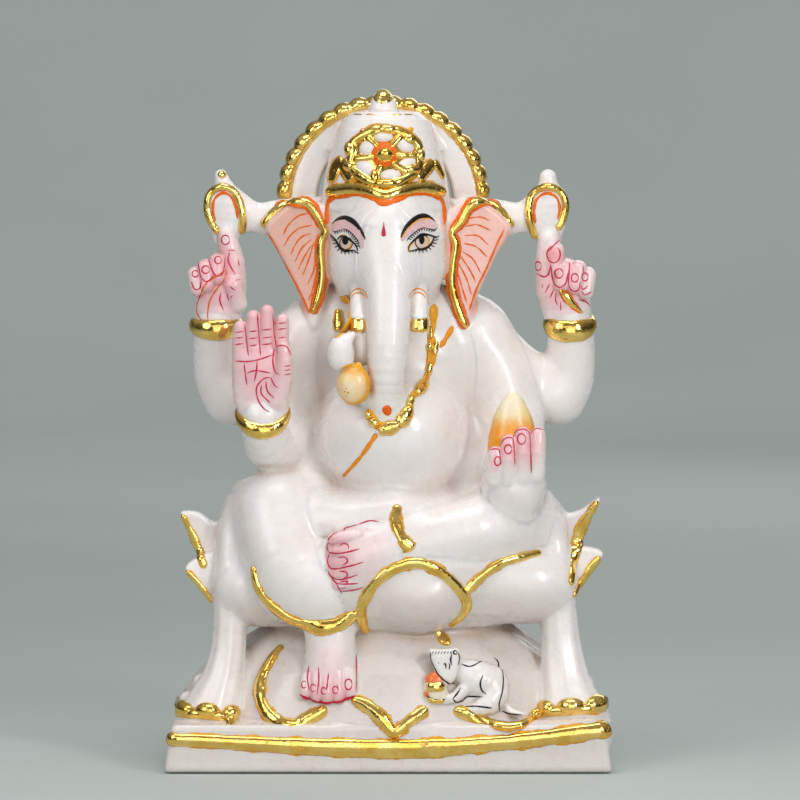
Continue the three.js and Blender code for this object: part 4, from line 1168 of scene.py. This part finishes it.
def painted_hands():
    """Crimson nails, finger lines and palm lines, and the gilded spindle in one fist."""
    finger_lines = [
        [(-64.2, 200.1), (-63.4, 193), (-62.5, 185.7)], [(-58.6, 204.7), (-57.8, 195), (-57.1, 185.7)],
        [(-51.6, 204.7), (-51, 196), (-49.5, 187)],
        [(-68.7, 183.4), (-63, 183.2), (-57.6, 184.2), (-51.4, 186.4)],
        [(-64.5, 182.5), (-63.8, 177), (-63.2, 172.7)], [(-58.6, 183.8), (-58.9, 179), (-59.9, 174)],
        [(-63.2, 177.9), (-59.3, 179.2), (-52.8, 178.2)],
        [(-50.8, 189), (-51.6, 184.4), (-50.8, 179.2), (-48.4, 177.2)],
        [(-52.7, 176.3), (-56, 175.3), (-58.9, 171.4), (-58.2, 166.1), (-55.6, 162.2), (-52.8, 160.6)],
        [(-52.7, 176.3), (-50.8, 172.7), (-48.8, 171.4)], [(-54.7, 174.6), (-54, 170), (-50.8, 166.8)],
        [(-56.7, 172.7), (-56.7, 168.7), (-52.7, 164.8)],
        [(-50.6, 189.4), (-48, 190.6), (-45, 189.6), (-43.6, 186)],
    ]
    ticks = [(-66.6, 1.8, (196.4, 193.8, 191)), (-60.4, 1.8, (196.8, 193.6, 190.4)),
             (-54.2, 2.2, (197.5, 194, 191)), (-47.4, 1.8, (200.4, 197.8, 193.9)),
             (-44.9, 1.4, (181.4, 179.6, 177.6))]
    for x, half, levels in ticks:
        finger_lines += [[(x - half, z - 0.2), (x, z), (x + half, z + 0.3)] for z in levels]
    lines("blessing_palm_lines", finger_lines, 0.36, CRIMSON, "tinted_marble")
    lines("right_fist_lines", [
        circle(-73.7, 236.7, 1.9, 2.1), circle(-77, 227.6, 1.5, 1.7), circle(-82.6, 223.3, 1.8, 1.7),
        circle(-87.4, 221.4, 1.4, 1.5),
        [(-81.9, 230), (-80.8, 226), (-79.2, 222.1), (-77.3, 220.4), (-74.8, 222), (-73.9, 228.8)],
        [(-86.2, 227.4), (-85.3, 222), (-84.8, 220), (-82.4, 217.9), (-79.9, 219.5), (-78.8, 221.4)],
        [(-89.3, 218), (-87.6, 214.4), (-85.2, 215), (-84.6, 219)],
        [(-72.9, 231.8), (-71, 232.1), (-69.1, 231.6)],
        [(-71.7, 231.3), (-72.6, 228), (-71.6, 225), (-69.3, 221)], [(-68.2, 228.2), (-67.5, 224.7)],
        [(-75.8, 212.8), (-76.3, 209.3), (-74.7, 204.6)], [(-71.8, 215.8), (-69.3, 213.8)],
        [(-69.4, 218.4), (-67, 218.8)], [(-73.2, 213.2), (-72.2, 208.7)],
        [(-70.2, 211.8), (-71.8, 210.2)], [(-88.6, 212.6), (-86.6, 210.6)],
    ], 0.36, CRIMSON, "tinted_marble")
    lines("right_fist_leaf", [
        [(-73.3, 223.3), (-77.8, 220.4), (-82.4, 217), (-85.4, 211.3), (-87.1, 205), (-86, 202),
         (-84.4, 200.4)],
        [(-73.3, 223), (-74, 219.5), (-77.6, 214.4), (-80.8, 209.3), (-81.8, 204), (-81.8, 200.6)],
    ], 0.4, ORANGE, "tinted_marble")
    lines("left_fist_lines", [
        circle(74.8, 230.2, 3.0, 3.8, 100, 420, 16), circle(67.9, 224.8, 1.4, 2.0),
        circle(77.2, 221.6, 1.9, 2.1), circle(84.4, 219.6, 1.6, 1.9), circle(89, 220, 1.4, 1.8),
        [(77.9, 237), (75.2, 234.4), (72, 231.2)],
        [(73.6, 225.6), (74.3, 219.5), (75.4, 216.6), (77.7, 215.3), (80.3, 217.4), (81.2, 222)],
        [(82.3, 227.2), (81.6, 220.5), (81.6, 216.4), (83.2, 213.8), (85.9, 214.1), (86.9, 218)],
        [(88.1, 225.1), (88.4, 221.5)], [(86.9, 216.4), (88.2, 214.4), (90.5, 216.2)],
        [(66.9, 221.5), (70.6, 220), (72.6, 221.5), (73.6, 225.8)], [(73.2, 216.9), (71, 212.8)],
        [(75, 214.4), (73.2, 210.2)], [(76, 212.6), (75.8, 209.2), (76.8, 207.2)],
        [(78, 208.8), (78.2, 204.6)], [(70, 216.6), (69.6, 214.8)],
        [(87.6, 213.8), (89, 211.8), (92, 213.4)], [(86.4, 209.6), (89.8, 208.4), (92, 206)],
    ], 0.36, CRIMSON, "tinted_marble")
    spindle = [(77.8, 214.6), (80.4, 211.4), (83.6, 207.4), (87.8, 203.4)]
    lines("spindle_outline", [spindle], [0.9, 2.3, 2.2, 0.6], ORANGE, "tinted_marble", height=0.5,
          taper=1)
    laid("spindle_leaf", [ribbon(spindle, [0.5, 1.8, 1.7, 0.3], 1.5, taper=1)], GOLD, "gold_leaf")
    lines("cupped_hand_lines", [
        circle(48.8, 139.2, 1.3, 2.0), circle(53.5, 144.6, 1.6, 2.0), circle(59.5, 149.2, 1.8, 2.3),
        [(44.8, 144), (47.4, 144.6), (49.6, 144.2), (50, 141), (50.3, 137.5)],
        [(49.9, 145.2), (51.4, 148.6), (54, 149.8), (55.9, 148), (56.6, 137.5)],
        [(55.8, 149.4), (57.6, 152.8), (61, 153.4), (63, 151.6), (63.4, 147.6), (64, 133.7)],
        [(63.4, 151.2), (66, 153.6), (69.6, 153)],
    ], 0.38, CRIMSON, "tinted_marble")


def painted_feet():
    """Crimson nails and toe lines."""
    lines("folded_foot_lines", [
        [(-4.2, 111.9), (-8.4, 112.3), (-13.4, 110.6)],
        [(-13.4, 110.6), (-19.3, 108.9), (-24.4, 106.8), (-26.9, 103.9), (-27.3, 100.5), (-26, 98.5),
         (-21, 98.4), (-16.8, 99.3), (-12.6, 100.4)],
        [(-21.8, 101.4), (-20.2, 102.6), (-18, 102.2), (-17.6, 100.2)],
        [(-26.2, 98.4), (-27, 94.6), (-26, 91.8), (-23.5, 91.2), (-16, 93), (-10.9, 94.6)],
        [(-22.7, 96.3), (-19.3, 96.7), (-18.1, 94.8), (-20.2, 92.9)],
        [(-26.9, 90.4), (-25.6, 87.9), (-21, 86.4), (-13.4, 88.8)],
        [(-21.8, 90.2), (-18.9, 90), (-18.2, 88.2), (-20, 86.9)],
        [(-25.6, 87.9), (-23, 84.9), (-17.6, 84.5), (-13, 84.8)],
        [(-21.8, 85.3), (-18, 85.8), (-19.3, 84.2)], [(-23, 84.6), (-20.6, 79.6)],
        [(-21, 80.8), (-15, 81.6), (-10.9, 82.9)], [(-21.6, 82.2), (-18.6, 82.8)],
    ], 0.38, CRIMSON, "tinted_marble")
    lines("standing_foot_lines", [
        [(-35.4, 47.3), (-36.1, 42), (-35.2, 36.4)], [(-31.2, 47.1), (-31, 41.2), (-31.8, 34.8)],
        [(-26.6, 44.5), (-27, 40.4), (-27.5, 37)], [(-23, 39.4), (-22, 36.6)],
        circle(-17.7, 39.4, 1.6, 2.3), circle(-37.6, 39.2, 1.1, 1.5, 40, 330),
        circle(-33.5, 37.8, 1.2, 1.6, 20, 330), circle(-28.8, 36.6, 1.1, 1.5, 20, 330),
        circle(-23.6, 37, 1.2, 1.5, 20, 330), [(-14.4, 52), (-14.2, 44), (-14.4, 36)],
    ], 0.38, CRIMSON, "tinted_marble")
    sole = [(-39.4, 34.9), (-37.6, 33.6), (-35, 32.6), (-30.2, 31.2), (-25, 31.2), (-20, 32.2),
            (-14.8, 34.4)]
    lines("standing_foot_edge", [sole], 0.8, CRIMSON, "tinted_marble", height=0.3)


def painted_ears():
    """Orange veins that fan out over the ears, and the line along their outer edge."""
    right = [
        [(-35.1, 248.8), (-40.2, 247.9), (-45.2, 243.5), (-47.4, 239)],
        [(-34.5, 243.5), (-40.2, 242.2), (-44.6, 238.4), (-47.1, 234)],
        [(-34.5, 239.9), (-38.9, 238.4), (-42.1, 234.6), (-44, 230.2)],
        [(-34.5, 237.2), (-38.9, 233.4), (-42.1, 227.1)],
        [(-34.5, 234.6), (-37.7, 229.6), (-40.8, 223.3)],
        [(-33.6, 235.9), (-35.8, 228.3), (-38.7, 220.8)], [(-32.9, 230.9), (-33.6, 223.3), (-36.4, 217)],
        [(-32.4, 223.3), (-33.9, 215.7), (-36, 209.4)],
    ]
    left = [
        [(35.4, 246.5), (41.7, 247.2), (45.8, 245.6)], [(34.7, 243), (40.3, 243.7), (46.6, 240.9)],
        [(34.4, 238.8), (40.3, 238.8), (45.2, 234.6)], [(34, 235.3), (39.6, 233.9), (44.8, 229)],
        [(33.3, 231.8), (38.2, 228.3), (41.7, 222)], [(32.6, 229.7), (36.8, 223.4), (39.6, 217.8)],
        [(31.6, 226.9), (35.4, 219.2), (37.5, 212.2)], [(31.2, 222.7), (33.5, 215), (35.4, 208.7)],
    ]
    right_edge = [(-55.4, 240), (-52.2, 236.5), (-48.6, 229.2), (-44.8, 222.7), (-41, 215.7),
                  (-37.4, 208.2), (-36, 203.6)]
    left_edge = [(52.4, 241.6), (48.9, 234.6), (44.1, 223.4), (39.9, 215), (36.6, 205.2)]
    for side, veins, edge in (("right", right, right_edge), ("left", left, left_edge)):
        lines(f"ear_{side}_veins", veins, 0.38, ORANGE, "orange_paint", uneven=0.25)
        lines(f"ear_{side}_edge", [edge], 0.55, ORANGE, "orange_paint")


def painted_mouse():
    """The mouse's black lines and the gold on its sweet."""
    scribble = [[(19.4 + 1.35 * k, 52.8 + 0.05 * k), (20.4 + 1.35 * k, 54.4)] for k in range(8)]
    lines("mouse_lines", scribble + [
        [(28.6, 53.6), (27.9, 50.6), (28.4, 47.9)], [(31, 54), (31.9, 51.4), (31.2, 47.8)],
        circle(30, 53.8, 0.8, 0.8), [(24.6, 48.2), (25.6, 48.9), (25.8, 46.4)],
        [(26.7, 48.8), (27.5, 48.4), (27.2, 46)], [(22.2, 49.4), (22.8, 48.8)],
        [(18.8, 54.2), (19, 51), (19.9, 48.4), (21.9, 44.6), (24.4, 41.8), (27, 39.9), (30, 38.9)],
        [(32.8, 48.2), (36.2, 47.2), (39.5, 48.1), (42.9, 49.9)],
        [(47.4, 49.8), (50.4, 46.8), (51.5, 42.3), (51.2, 36.7), (49.6, 30.4), (50.2, 26.4)],
        [(42.3, 43.4), (41.2, 40), (41.8, 36.7), (44, 34.7)], [(32.5, 38), (31.1, 35.6), (28.9, 33)],
        [(28.9, 33), (30.6, 31.2), (33.4, 31.7), (35.4, 33.4), (42.3, 33.6)],
        [(33.9, 29.2), (40, 29.6), (46.6, 28.8)], [(33, 30), (32.8, 27.4), (35.6, 26)],
        [(50.7, 26.8), (54.7, 25.8), (60.2, 25.6)], [(17.4, 38.6), (21, 37.6), (24, 38.8)],
        [(17, 34.6), (20.6, 32.6), (25.6, 32.8)],
    ], 0.42, BLACK, "marble")
    laid("mouse_sweet_leaf", [ribbon([(17, 38.6), (21, 38.2), (25.4, 39)], 2.2, 0.5),
                              ribbon([(17.6, 33.2), (20.8, 31.6), (25, 32)], 1.3, 0.5)], GOLD,
         "gold_leaf")


def crown_gold():
    """The band, the wheel with its white petals and jewel, and the side leaves."""
    gilded("crown_band_leaf",
           [[(-27.8, 258.4), (-22, 259.8), (-14, 260.6), (-7, 259.2), (-1.4, 257.8), (5, 259.4),
             (12, 260.8), (19, 260.6), (25.6, 258.4)]], [2.4, 3.0, 2.9, 2.8, 2.9, 2.8, 2.8, 3.0, 2.4],
           1.7, "crown_band", taper=1.0)
    cx, cz = -1.5, 274.6
    ring = circle(cx, cz, 15.4, 12.2, -93, 267, 42)[:-1]
    scallop = [(cx + (x - cx) * (1 + 0.05 * math.cos(6 * math.radians(8.8 * k))), z)
               for k, (x, z) in enumerate(ring)]
    ring_halves = [2.5 + 0.4 * math.sin(k * 0.9) for k in range(len(ring))]
    rosette = [spot((cx, cz), (15.6, 12.4), 1.0, around=40, rings=8),
               ribbon(scallop, ring_halves, 2.0, closed=True)]
    for turn in (2, 58, 124, 187, 250, 317):
        c, s = math.cos(math.radians(turn)), math.sin(math.radians(turn))
        spoke = [(cx + 4 * c, cz + 4 * s), (cx + 9 * c, cz + 7.5 * s), (cx + 14 * c, cz + 11 * s)]
        rosette.append(ribbon(spoke, [1.7, 1.9, 2.4], 2.1, taper=0.5))
    swells = [(10.4, 268.6, 4.6, 2.8), (-1.3, 262.4, 6.4, 2.4), (-0.6, 286.6, 5, 2.4),
              (9.5, 282.3, 3.4, 3), (-17, 277.6, 2.4, 4), (-16.8, 270.2, 3.6, 3), (-5.8, 265.4, 2.2, 3.8),
              (14, 275, 2.2, 3.6)]
    rosette += [spot((x, z), (rx, rz), 2.9) for x, z, rx, rz in swells]
    petals = [(-9, 278.4, 4.4, 3.5, 35), (-2.1, 283.3, 4.6, 2.7, 0), (7.2, 279.6, 5.0, 3.2, -35),
              (8.6, 271.4, 5.0, 2.9, 20), (1.1, 266, 5.0, 3.1, 0), (-10.4, 269.4, 5.0, 3.7, -30)]
    laid("crown_petals", [spot((x, z), (rx, rz), 2.0, tilt=tilt) for x, z, rx, rz, tilt in petals],
         PETAL, "marble")
    leaves = [
        ([(-25.4, 262.4), (-25, 266.4), (-23.4, 270.4), (-20.6, 273.6)], [3.0, 4.4, 4.2, 2.4]),
        ([(-20.8, 273), (-18.6, 268.8), (-15.4, 264.4)], [2.6, 3.8, 3.8]),
        ([(13.4, 264.6), (17, 268.8), (20.6, 272.2)], [2.8, 3.0, 2.0]),
        ([(20.6, 272.2), (23.4, 268.6), (25, 264.6)], [2.0, 2.9, 2.6]),
        ([(-11.9, 287), (-10.4, 283), (-7.6, 279)], [1.0, 2.1, 1.4]),
        ([(12, 284), (14.4, 280), (16.4, 275)], [0.3, 0.4, 0.3]),
    ]
    rosette += [ribbon(path, half, 0.9, taper=1.0) for path, half in leaves]
    laid("crown_rosette_leaf", rosette, GOLD, "gold_leaf", "crown_rosette")
    grounds = [ribbon(scallop, widened(ring_halves, 0.6), 0.2, closed=True)]
    grounds += [ribbon(path, widened(half, 0.5), 0.18, taper=1.0) for path, half in leaves[:5]]
    grounds.append(spot((10.2, 286.8), (1.2, 1.1), 0.4))
    laid("crown_rosette_ground", grounds, OCHRE, "gold_leaf")
    laid("crown_jewel_paint", [spot((-1.7, 275.3), (6.2, 6.2), 3.2)], ORANGE, "orange_paint",
         "crown_jewel")
    laid("crown_jewel_bead", [spot((-1.4, 274.7), (4.0, 4.0), 6.4)], GOLD, "gold_leaf")
    laid("crown_top_line", [ribbon([(x, 293.4), (x + 2, 293.5), (x + 4, 293.4)], 0.4, 0.2, taper=1)
                            for x in (-15.4, -9.9, 1.9, 7)], GOLD, "gold_leaf")
    laid("finial_leaf", [spot((-2.3, 301), (4.7, 2.7), 0.35), spot((-2.3, 302.4), (3.4, 2.5), 0.4)],
         GOLD, "gold_leaf")


def lumps(*rows):
    """A path and its half widths from (x, z, half width) rows."""
    return [(x, z) for x, z, _ in rows], [half for _, _, half in rows]


def neck_gold():
    """Gold lozenges strung along a brushed ochre cord."""
    cords = [[(20.8, 208), (20.4, 203.6), (20.2, 198.4), (19.2, 194), (20, 189), (19.4, 184), (18.4, 179),
              (16.6, 174.4), (13.6, 169.8), (10.2, 167), (9.4, 162.6), (7, 157.4), (1, 154), (-4.4, 155),
              (-7.6, 158.6), (-9, 162)],
             [(-21.8, 211), (-21.6, 206.6), (-22.2, 203), (-22.4, 199), (-22.4, 194.6)]]
    widths = [[1.5, 2.2, 1.4, 1.5, 2.6, 2.2, 1.6, 1.6, 1.9, 1.7, 2.0, 2.2, 2.4, 2.4, 2.4, 2.0],
              [1.6, 2.4, 2.6, 2.8, 2.2]]
    laid("necklace_ground", [ribbon(path, half, 0.5, uneven=0.1) for path, half in zip(cords, widths)],
         OCHRE, "gold_leaf")
    lozenges = [
        ((19, 198.6), (18.8, 192.4), 1.3), ((21.4, 191.4), (20.4, 185.4), 1.9),
        ((18.4, 190.8), (18.4, 187), 1.6), ((18.7, 182), (17.6, 175.4), 1.8),
        ((17.2, 174.4), (12.4, 168), 2.9), ((10.4, 167.6), (8.8, 162.8), 2.1),
        ((9.8, 162.6), (4.8, 154.6), 3.8), ((5, 155), (-4, 152.4), 3.5), ((-5, 154.4), (-7.4, 158), 2.6),
        ((-8, 158), (-9.2, 161.4), 1.9), ((-22.2, 205.6), (-22.4, 195.4), 2.9),
    ]
    gems = []
    for start, end, half in lozenges:
        middle = ((start[0] + end[0]) / 2, (start[1] + end[1]) / 2)
        gems.append(ribbon([start, middle, end], [0.6 * half, half, 0.7 * half], 2.4, step=0.5,
                           taper=0.9, lift=0.2, uneven=0.06))
    laid("necklace_leaf", gems, GOLD, "gold_leaf", "necklace")
    lines("sacred_thread", [[(-5.2, 151), (-12, 141), (-20.4, 130.8)]], [1.4, 1.0, 0.9], SAFFRON,
          "orange_paint", taper=0.8)
    lines("thread_stroke", [[(29.2, 198), (26.6, 193.6), (23.4, 188.6)]], 1.4, SAFFRON, "orange_paint")
    dot = ribbon([(-1.2, 163.8), (-0.4, 161.6), (0.2, 159.4)], [1.6, 2.2, 1.2], 0.5, taper=0.6)
    laid("necklace_dot", [dot], ORANGE, "orange_paint")


def bangle(name, centre, radii, sag, thick, tall, side_tall):
    """A gold ring round a wrist, lower and deeper in front than at its sides."""
    count = 60
    a = np.linspace(0, 2 * math.pi, count, endpoint=False)
    front = np.maximum(-np.sin(a), -0.35)
    outward = np.stack([np.cos(a), np.sin(a), 0 * a], 1)
    centres = np.array(centre) + outward * (*radii, 0)
    centres[:, 2] -= sag * front
    upward = np.tile([0.0, 0, 1], (count, 1))
    height = side_tall + (tall - side_tall) * np.clip(front, 0, 1) ** 0.7
    height = height * wander(count, centre[0], 0.03)
    laid(name + "_leaf", [sleeve(centres, outward, np.full(count, thick), upward, height, True)],
         GOLD, "gold_leaf", name)


def arm_gold():
    """Bangles, tusk caps and the beads round the halo."""
    bangle("bangle_rear_right", (-78.2, 4.2, 198), (10.6, 9.8), 2.2, 1.9, 4.6, 2.7)
    bangle("bangle_rear_left", (82.5, 4.2, 198.2), (10.4, 9.8), 3.0, 1.9, 5.0, 3.1)
    bangle("bangle_front_right", (-56.2, -32, 159.6), (10.9, 8.4), 7.6, 1.7, 3.7, 1.9)
    for side, x in (("right", -13.2), ("left", 13.8)):
        t = np.linspace(0, 1, 10)
        centres = np.stack([np.full(10, x), -36.6 - 1.6 * t, 203.8 - 7.6 * t], 1)
        size = 4.5 * np.clip(1 - (2 * t - 1) ** 8, 0.3, 1) ** 0.5
        across, back = np.tile([1.0, 0, 0], (10, 1)), np.tile([0.0, 1, 0], (10, 1))
        laid(f"tusk_cap_{side}_leaf", [sleeve(centres, across, size, back, size)],
             GOLD, "gold_leaf", f"tusk_cap_{side}")
    bead_count = 18
    a = np.radians(np.linspace(1, 179, bead_count * 10))
    bead = np.abs(np.sin(np.linspace(0, bead_count * math.pi, len(a)))) ** 0.6
    outward = np.stack([np.cos(a), 0 * a, np.sin(a)], 1)
    radius = 43.6 + 0.9 * bead + 1.2 * np.maximum(-np.cos(a), 0)
    centres = np.array([-1.8, 11, 254]) + outward * radius[:, None]
    back = np.tile([0.0, 1, 0], (len(a), 1))
    laid("halo_beads_leaf", [sleeve(centres, outward, 3.0 + 0.8 * bead, back, 4.4 + 1.6 * bead)],
         GOLD, "gold_leaf", "halo_beads")


def rims():
    """Gilded rims on the seat, base, petals, draperies, ears and emblems."""
    seat_loop = [(-60.4, 91.8), (-58.4, 82), (-51.6, 73.4), (-42.2, 67), (-31, 64.6), (-21, 66.4),
                 (-13.4, 71.2)]
    seat_arch = [(-9.4, 60.6), (-11.6, 66), (-12.2, 71.6), (-9.6, 79), (-4.2, 86.2), (4.6, 92),
                 (14.6, 93.6), (24.2, 89), (31.6, 81.6), (35.2, 75), (33.2, 69.4), (27.6, 64.2)]
    seat_wave = [(34.4, 79.4), (40.4, 85.8), (49.4, 92.2), (59, 95.2), (68.6, 97)]
    gilded("seat_rim_leaf", [seat_loop, seat_arch, seat_wave],
           [[1.5, 2.3, 2.9, 3.5, 3.8, 3.4, 2.4],
            [1.8, 2.2, 2.4, 2.5, 2.6, 2.7, 2.7, 2.5, 2.6, 2.7, 2.6, 1.5], [2.3, 2.4, 2.3, 2.1, 1.7]], 1.7,
           "seat_rim")
    low_loop = lumps((-47.6, 54.4, 1.7), (-52.8, 48.2, 2.5), (-56.8, 40.9, 3.1), (-57.7, 34.7, 3.3),
                     (-55.9, 28.3, 3.1), (-51, 23.4, 3.3), (-42.4, 21.8, 3.5), (-35.2, 24.4, 3.4),
                     (-27.4, 28.6, 2.3))
    low_vee = lumps((-16.5, 32.6, 1.9), (-11, 30.8, 2.9), (-5, 26.6, 3.4), (-0.5, 21.4, 3.1),
                    (3, 18.2, 2.7), (8.4, 22.6, 2.7), (13, 25.6, 2.9), (17.6, 28.8, 2.3))
    low_wave = lumps((29.4, 28.2, 1.9), (33.5, 26.2, 2.9), (38, 24.3, 3.2), (44.7, 22.4, 3.0),
                     (53, 21, 2.5), (60.2, 21.8, 2.4), (66, 24.8, 2.1), (70.4, 27.6, 1.7))
    paths, halves = zip(low_loop, low_vee, low_wave)
    gilded("pedestal_rim_leaf", paths, list(halves), 1.8, "pedestal_rim")
    gilded("pedestal_stub_leaf", [[(20.9, 60.8), (23.6, 59.4), (25.6, 57.2), (27.8, 55.6)]],
           [[1.8, 2.5, 2.3, 1.2]], 1.0)
    band = [(-99, 15.2), (-80, 14.4), (-60, 13.2), (-30, 11.7), (0, 10.9), (22, 11.3), (40, 12.8),
            (56, 14.3), (70, 16), (86, 18.2), (99, 20.2)]
    gilded("plinth_band_leaf", [band], [3.1, 3.2, 3.5, 4.1, 4.6, 4.4, 3.6, 3.5, 3.6, 3.8, 3.8], 1.7,
           "plinth_band", uneven=0.02, step=1.2)
    gilded("side_petal_leaf", [
        [(-93.2, 112.8), (-88, 101.6), (-82.6, 89)], [(-90.8, 88.2), (-84, 79.8), (-79.4, 73.6)],
        [(94.6, 119), (90.6, 112.6), (86.4, 104), (84, 94), (82, 82)],
        [(95.4, 94.6), (90, 86.6), (83.2, 76.8)],
    ], [[1.2, 2.1, 1.5], [1.0, 1.8, 1.6], [1.0, 2.0, 2.7, 2.8, 1.6], [1.1, 2.3, 1.8]], 1.1, ground=0.4)
    gilded("sash_leaf", [[(4.3, 119.4), (3.6, 113), (5.4, 106.6), (10.6, 99.4)]], [2.2, 2.6, 2.5, 3.0],
           1.0, "sash")
    domes = {
        "right": ([(-95.4, 25.4), (-82, 25), (-68.4, 23.6)],
                  [(-91.6, 26.8, 4.2, 3.4), (-81, 26.6, 5.6, 3.7), (-70.4, 25.2, 4.2, 3.9)]),
        "left": ([(64.8, 23.6), (68, 25.2), (80, 26.8), (98, 27.8)],
                 [(70.8, 27.2, 4.1, 3.8), (82, 28.6, 6.4, 3.9), (93.9, 29.2, 5.8, 4)]),
    }
    for side, (path, bumps) in domes.items():
        gilded(f"drape_trim_{side}_leaf", [path], 2.5, 1.9)
        laid(f"drape_trim_{side}_domes", [spot((x, z), (rx, rz), 3.3) for x, z, rx, rz in bumps], GOLD,
             "gold_leaf", f"drape_trim_{side}")
    right_ear = [(-56.8, 242.6), (-52.8, 248), (-46.5, 252.6), (-40.2, 254.2), (-35.8, 252.9),
                 (-32.6, 248.6), (-30.1, 244.2), (-28.4, 240.6), (-30.2, 236.6), (-30.7, 231),
                 (-30.1, 224), (-30.4, 217.6), (-32, 210.2), (-34.3, 203.6)]
    left_ear = [(56.2, 242.6), (51.5, 248.8), (45.9, 253), (40.3, 254), (36.1, 251), (33, 245.4),
                (28.8, 240.2), (30.4, 234.6), (29.3, 226.2), (28.8, 217.8), (30.5, 209.4), (33.1, 201.8),
                (35.4, 197)]
    for side, path in (("right", right_ear), ("left", left_ear)):
        halves = [2.4, 2.5, 2.5, 2.4, 2.1] + [1.9] * (len(path) - 6) + [1.1]
        gilded(f"ear_rim_{side}_leaf", [path], halves, 1.9, f"ear_rim_{side}", ground=0, uneven=0.012)
        lines(f"ear_rim_{side}_outline", [path], [half + 1.2 for half in halves], ORANGE, "orange_paint",
              height=0.3, uneven=0.06, taper=1)
    hoops = {
        "right": [(-76.9, 239.6), (-80.2, 244.6), (-82, 251), (-80.6, 257.4), (-75.4, 260.6),
                  (-70.2, 258.6), (-67.2, 253), (-66, 246), (-66.4, 239.6)],
        "left": [(67.2, 237), (64.6, 243.4), (63.6, 250.4), (65.4, 257.2), (71.6, 260.6), (77.8, 258.4),
                 (80.2, 252.4), (79, 245.6), (76.4, 241)],
    }
    for side, path in hoops.items():
        gilded(f"emblem_hoop_{side}_leaf", [path], 1.9, 1.9, f"emblem_hoop_{side}", ground=0)
        inner = np.array(path)
        middle = inner.mean(0)
        inner = middle + (inner - middle) * (0.70, 0.80) + (0, -0.6)
        lines(f"emblem_{side}_line", [inner[1:-1]], 0.75, ORANGE, "orange_paint")
    laid("emblem_dot", [spot((-75.4, 266.2), (1.9, 1.7), 0.8)], GOLD, "gold_leaf")


for part in (painted_face, painted_hands, painted_feet, painted_ears, painted_mouse, crown_gold,
             neck_gold, arm_gold, rims):
    part()


# ---------------------------------------------------------------- stage, camera and light


def stage():
    """A pale floor that sweeps up into a wall, well behind the farthest camera."""
    floor = bpy.data.meshes.new("floor")
    sweep = [(-9, 0), (-5, 0), (-1, 0), (1.6, 0), (2.7, 0.01), (3.3, 0.1), (3.7, 0.35), (3.9, 0.8),
             (3.95, 1.8), (3.95, 3.4)]
    rows = spline(sweep, 6)
    half_width, below = 7, 0.0002
    points = [(x, y, z - below) for y, z in rows for x in (-half_width, half_width)]
    faces = [(2 * i, 2 * i + 1, 2 * i + 3, 2 * i + 2) for i in range(len(rows) - 1)]
    floor.from_pydata(points, [], faces)
    floor.shade_smooth()
    made, nodes, links, shader = material("pale_backdrop")
    shade = ramp(nodes, links, noise(nodes, links, 3, 2),
                 [(0.3, (0.47, 0.52, 0.50)), (0.7, (0.50, 0.55, 0.53))])
    links.new(shade, shader.inputs["Base Color"])
    shader.inputs["Roughness"].default_value = 0.85
    floor.materials.append(made)
    piece = bpy.data.objects.new("floor", floor)
    bpy.context.scene.collection.objects.link(piece)


def softbox(name, place, aim, size, watts):
    lamp = bpy.data.lights.new(name, "AREA")
    lamp.shape = "RECTANGLE"
    lamp.size, lamp.size_y = size
    lamp.energy = watts
    holder = bpy.data.objects.new(name, lamp)
    holder.location = place
    holder.rotation_euler = (Vector(aim) - Vector(place)).to_track_quat("-Z", "Y").to_euler()
    holder.visible_camera = False
    bpy.context.scene.collection.objects.link(holder)


def light():
    """A soft studio: a dim sky that brightens overhead, and lamps that the camera doesn't see."""
    world = bpy.data.worlds.new("studio")
    world.use_nodes = True
    nodes, links = world.node_tree.nodes, world.node_tree.links
    direction = nodes.new("ShaderNodeTexCoord")
    split = nodes.new("ShaderNodeSeparateXYZ")
    links.new(direction.outputs["Generated"], split.inputs["Vector"])
    sky = ramp(nodes, links, split.outputs["Z"],
               [(0.0, (0.05, 0.05, 0.05)), (0.25, (0.10, 0.10, 0.10)), (0.8, (0.45, 0.44, 0.43))])
    links.new(sky, nodes["Background"].inputs["Color"])
    nodes["Background"].inputs["Strength"].default_value = 0.78
    bpy.context.scene.world = world
    middle = (0, 0, 0.15)
    # each lamp's place, what it aims at, its size, all in metres, and its watts
    lamps = {
        "key_right": ((0.75, -1.05, 0.62), middle, (0.18, 0.5), 6.2),
        "key_left": ((-0.85, -0.95, 0.75), middle, (0.6, 0.8), 4.6),
        "overhead": ((0, -0.25, 1.25), middle, (0.8, 0.5), 5.2),
        "front_fill": ((0.2, -1.9, 0.3), middle, (1.2, 0.7), 5.4),
        "back_fill": ((0.5, 1.7, 1.0), middle, (1.2, 0.8), 4.5),
        "floor_wash": ((0, -2.5, 1.1), (0, -2.5, 0), (2.4, 1.0), 13),
        "backdrop_light": ((0, 2.2, 1.9), (0, 3.8, 0.5), (3.6, 0.6), 22),
    }
    for name, (place, aim, size, watts) in lamps.items():
        softbox(name, place, aim, size, watts)


def camera():
    """A long lens from in front and a little above."""
    rise = math.radians(3.2)
    away = 2.6
    wide = 0.3635  # how much of the figure's plane the picture spans
    aim = Vector((0.0053, 0, 0.1638))
    lens = bpy.data.cameras.new("camera")
    lens.sensor_width = 36
    lens.lens = 36 * away / wide
    holder = bpy.data.objects.new("camera", lens)
    holder.location = aim + Vector((0, -math.cos(rise), math.sin(rise))) * away
    holder.rotation_euler = (aim - holder.location).to_track_quat("-Z", "Y").to_euler()
    bpy.context.scene.collection.objects.link(holder)
    bpy.context.scene.camera = holder


stage()
light()
camera()
bpy.context.scene.view_settings.view_transform = "Standard"
bpy.context.view_layer.update()
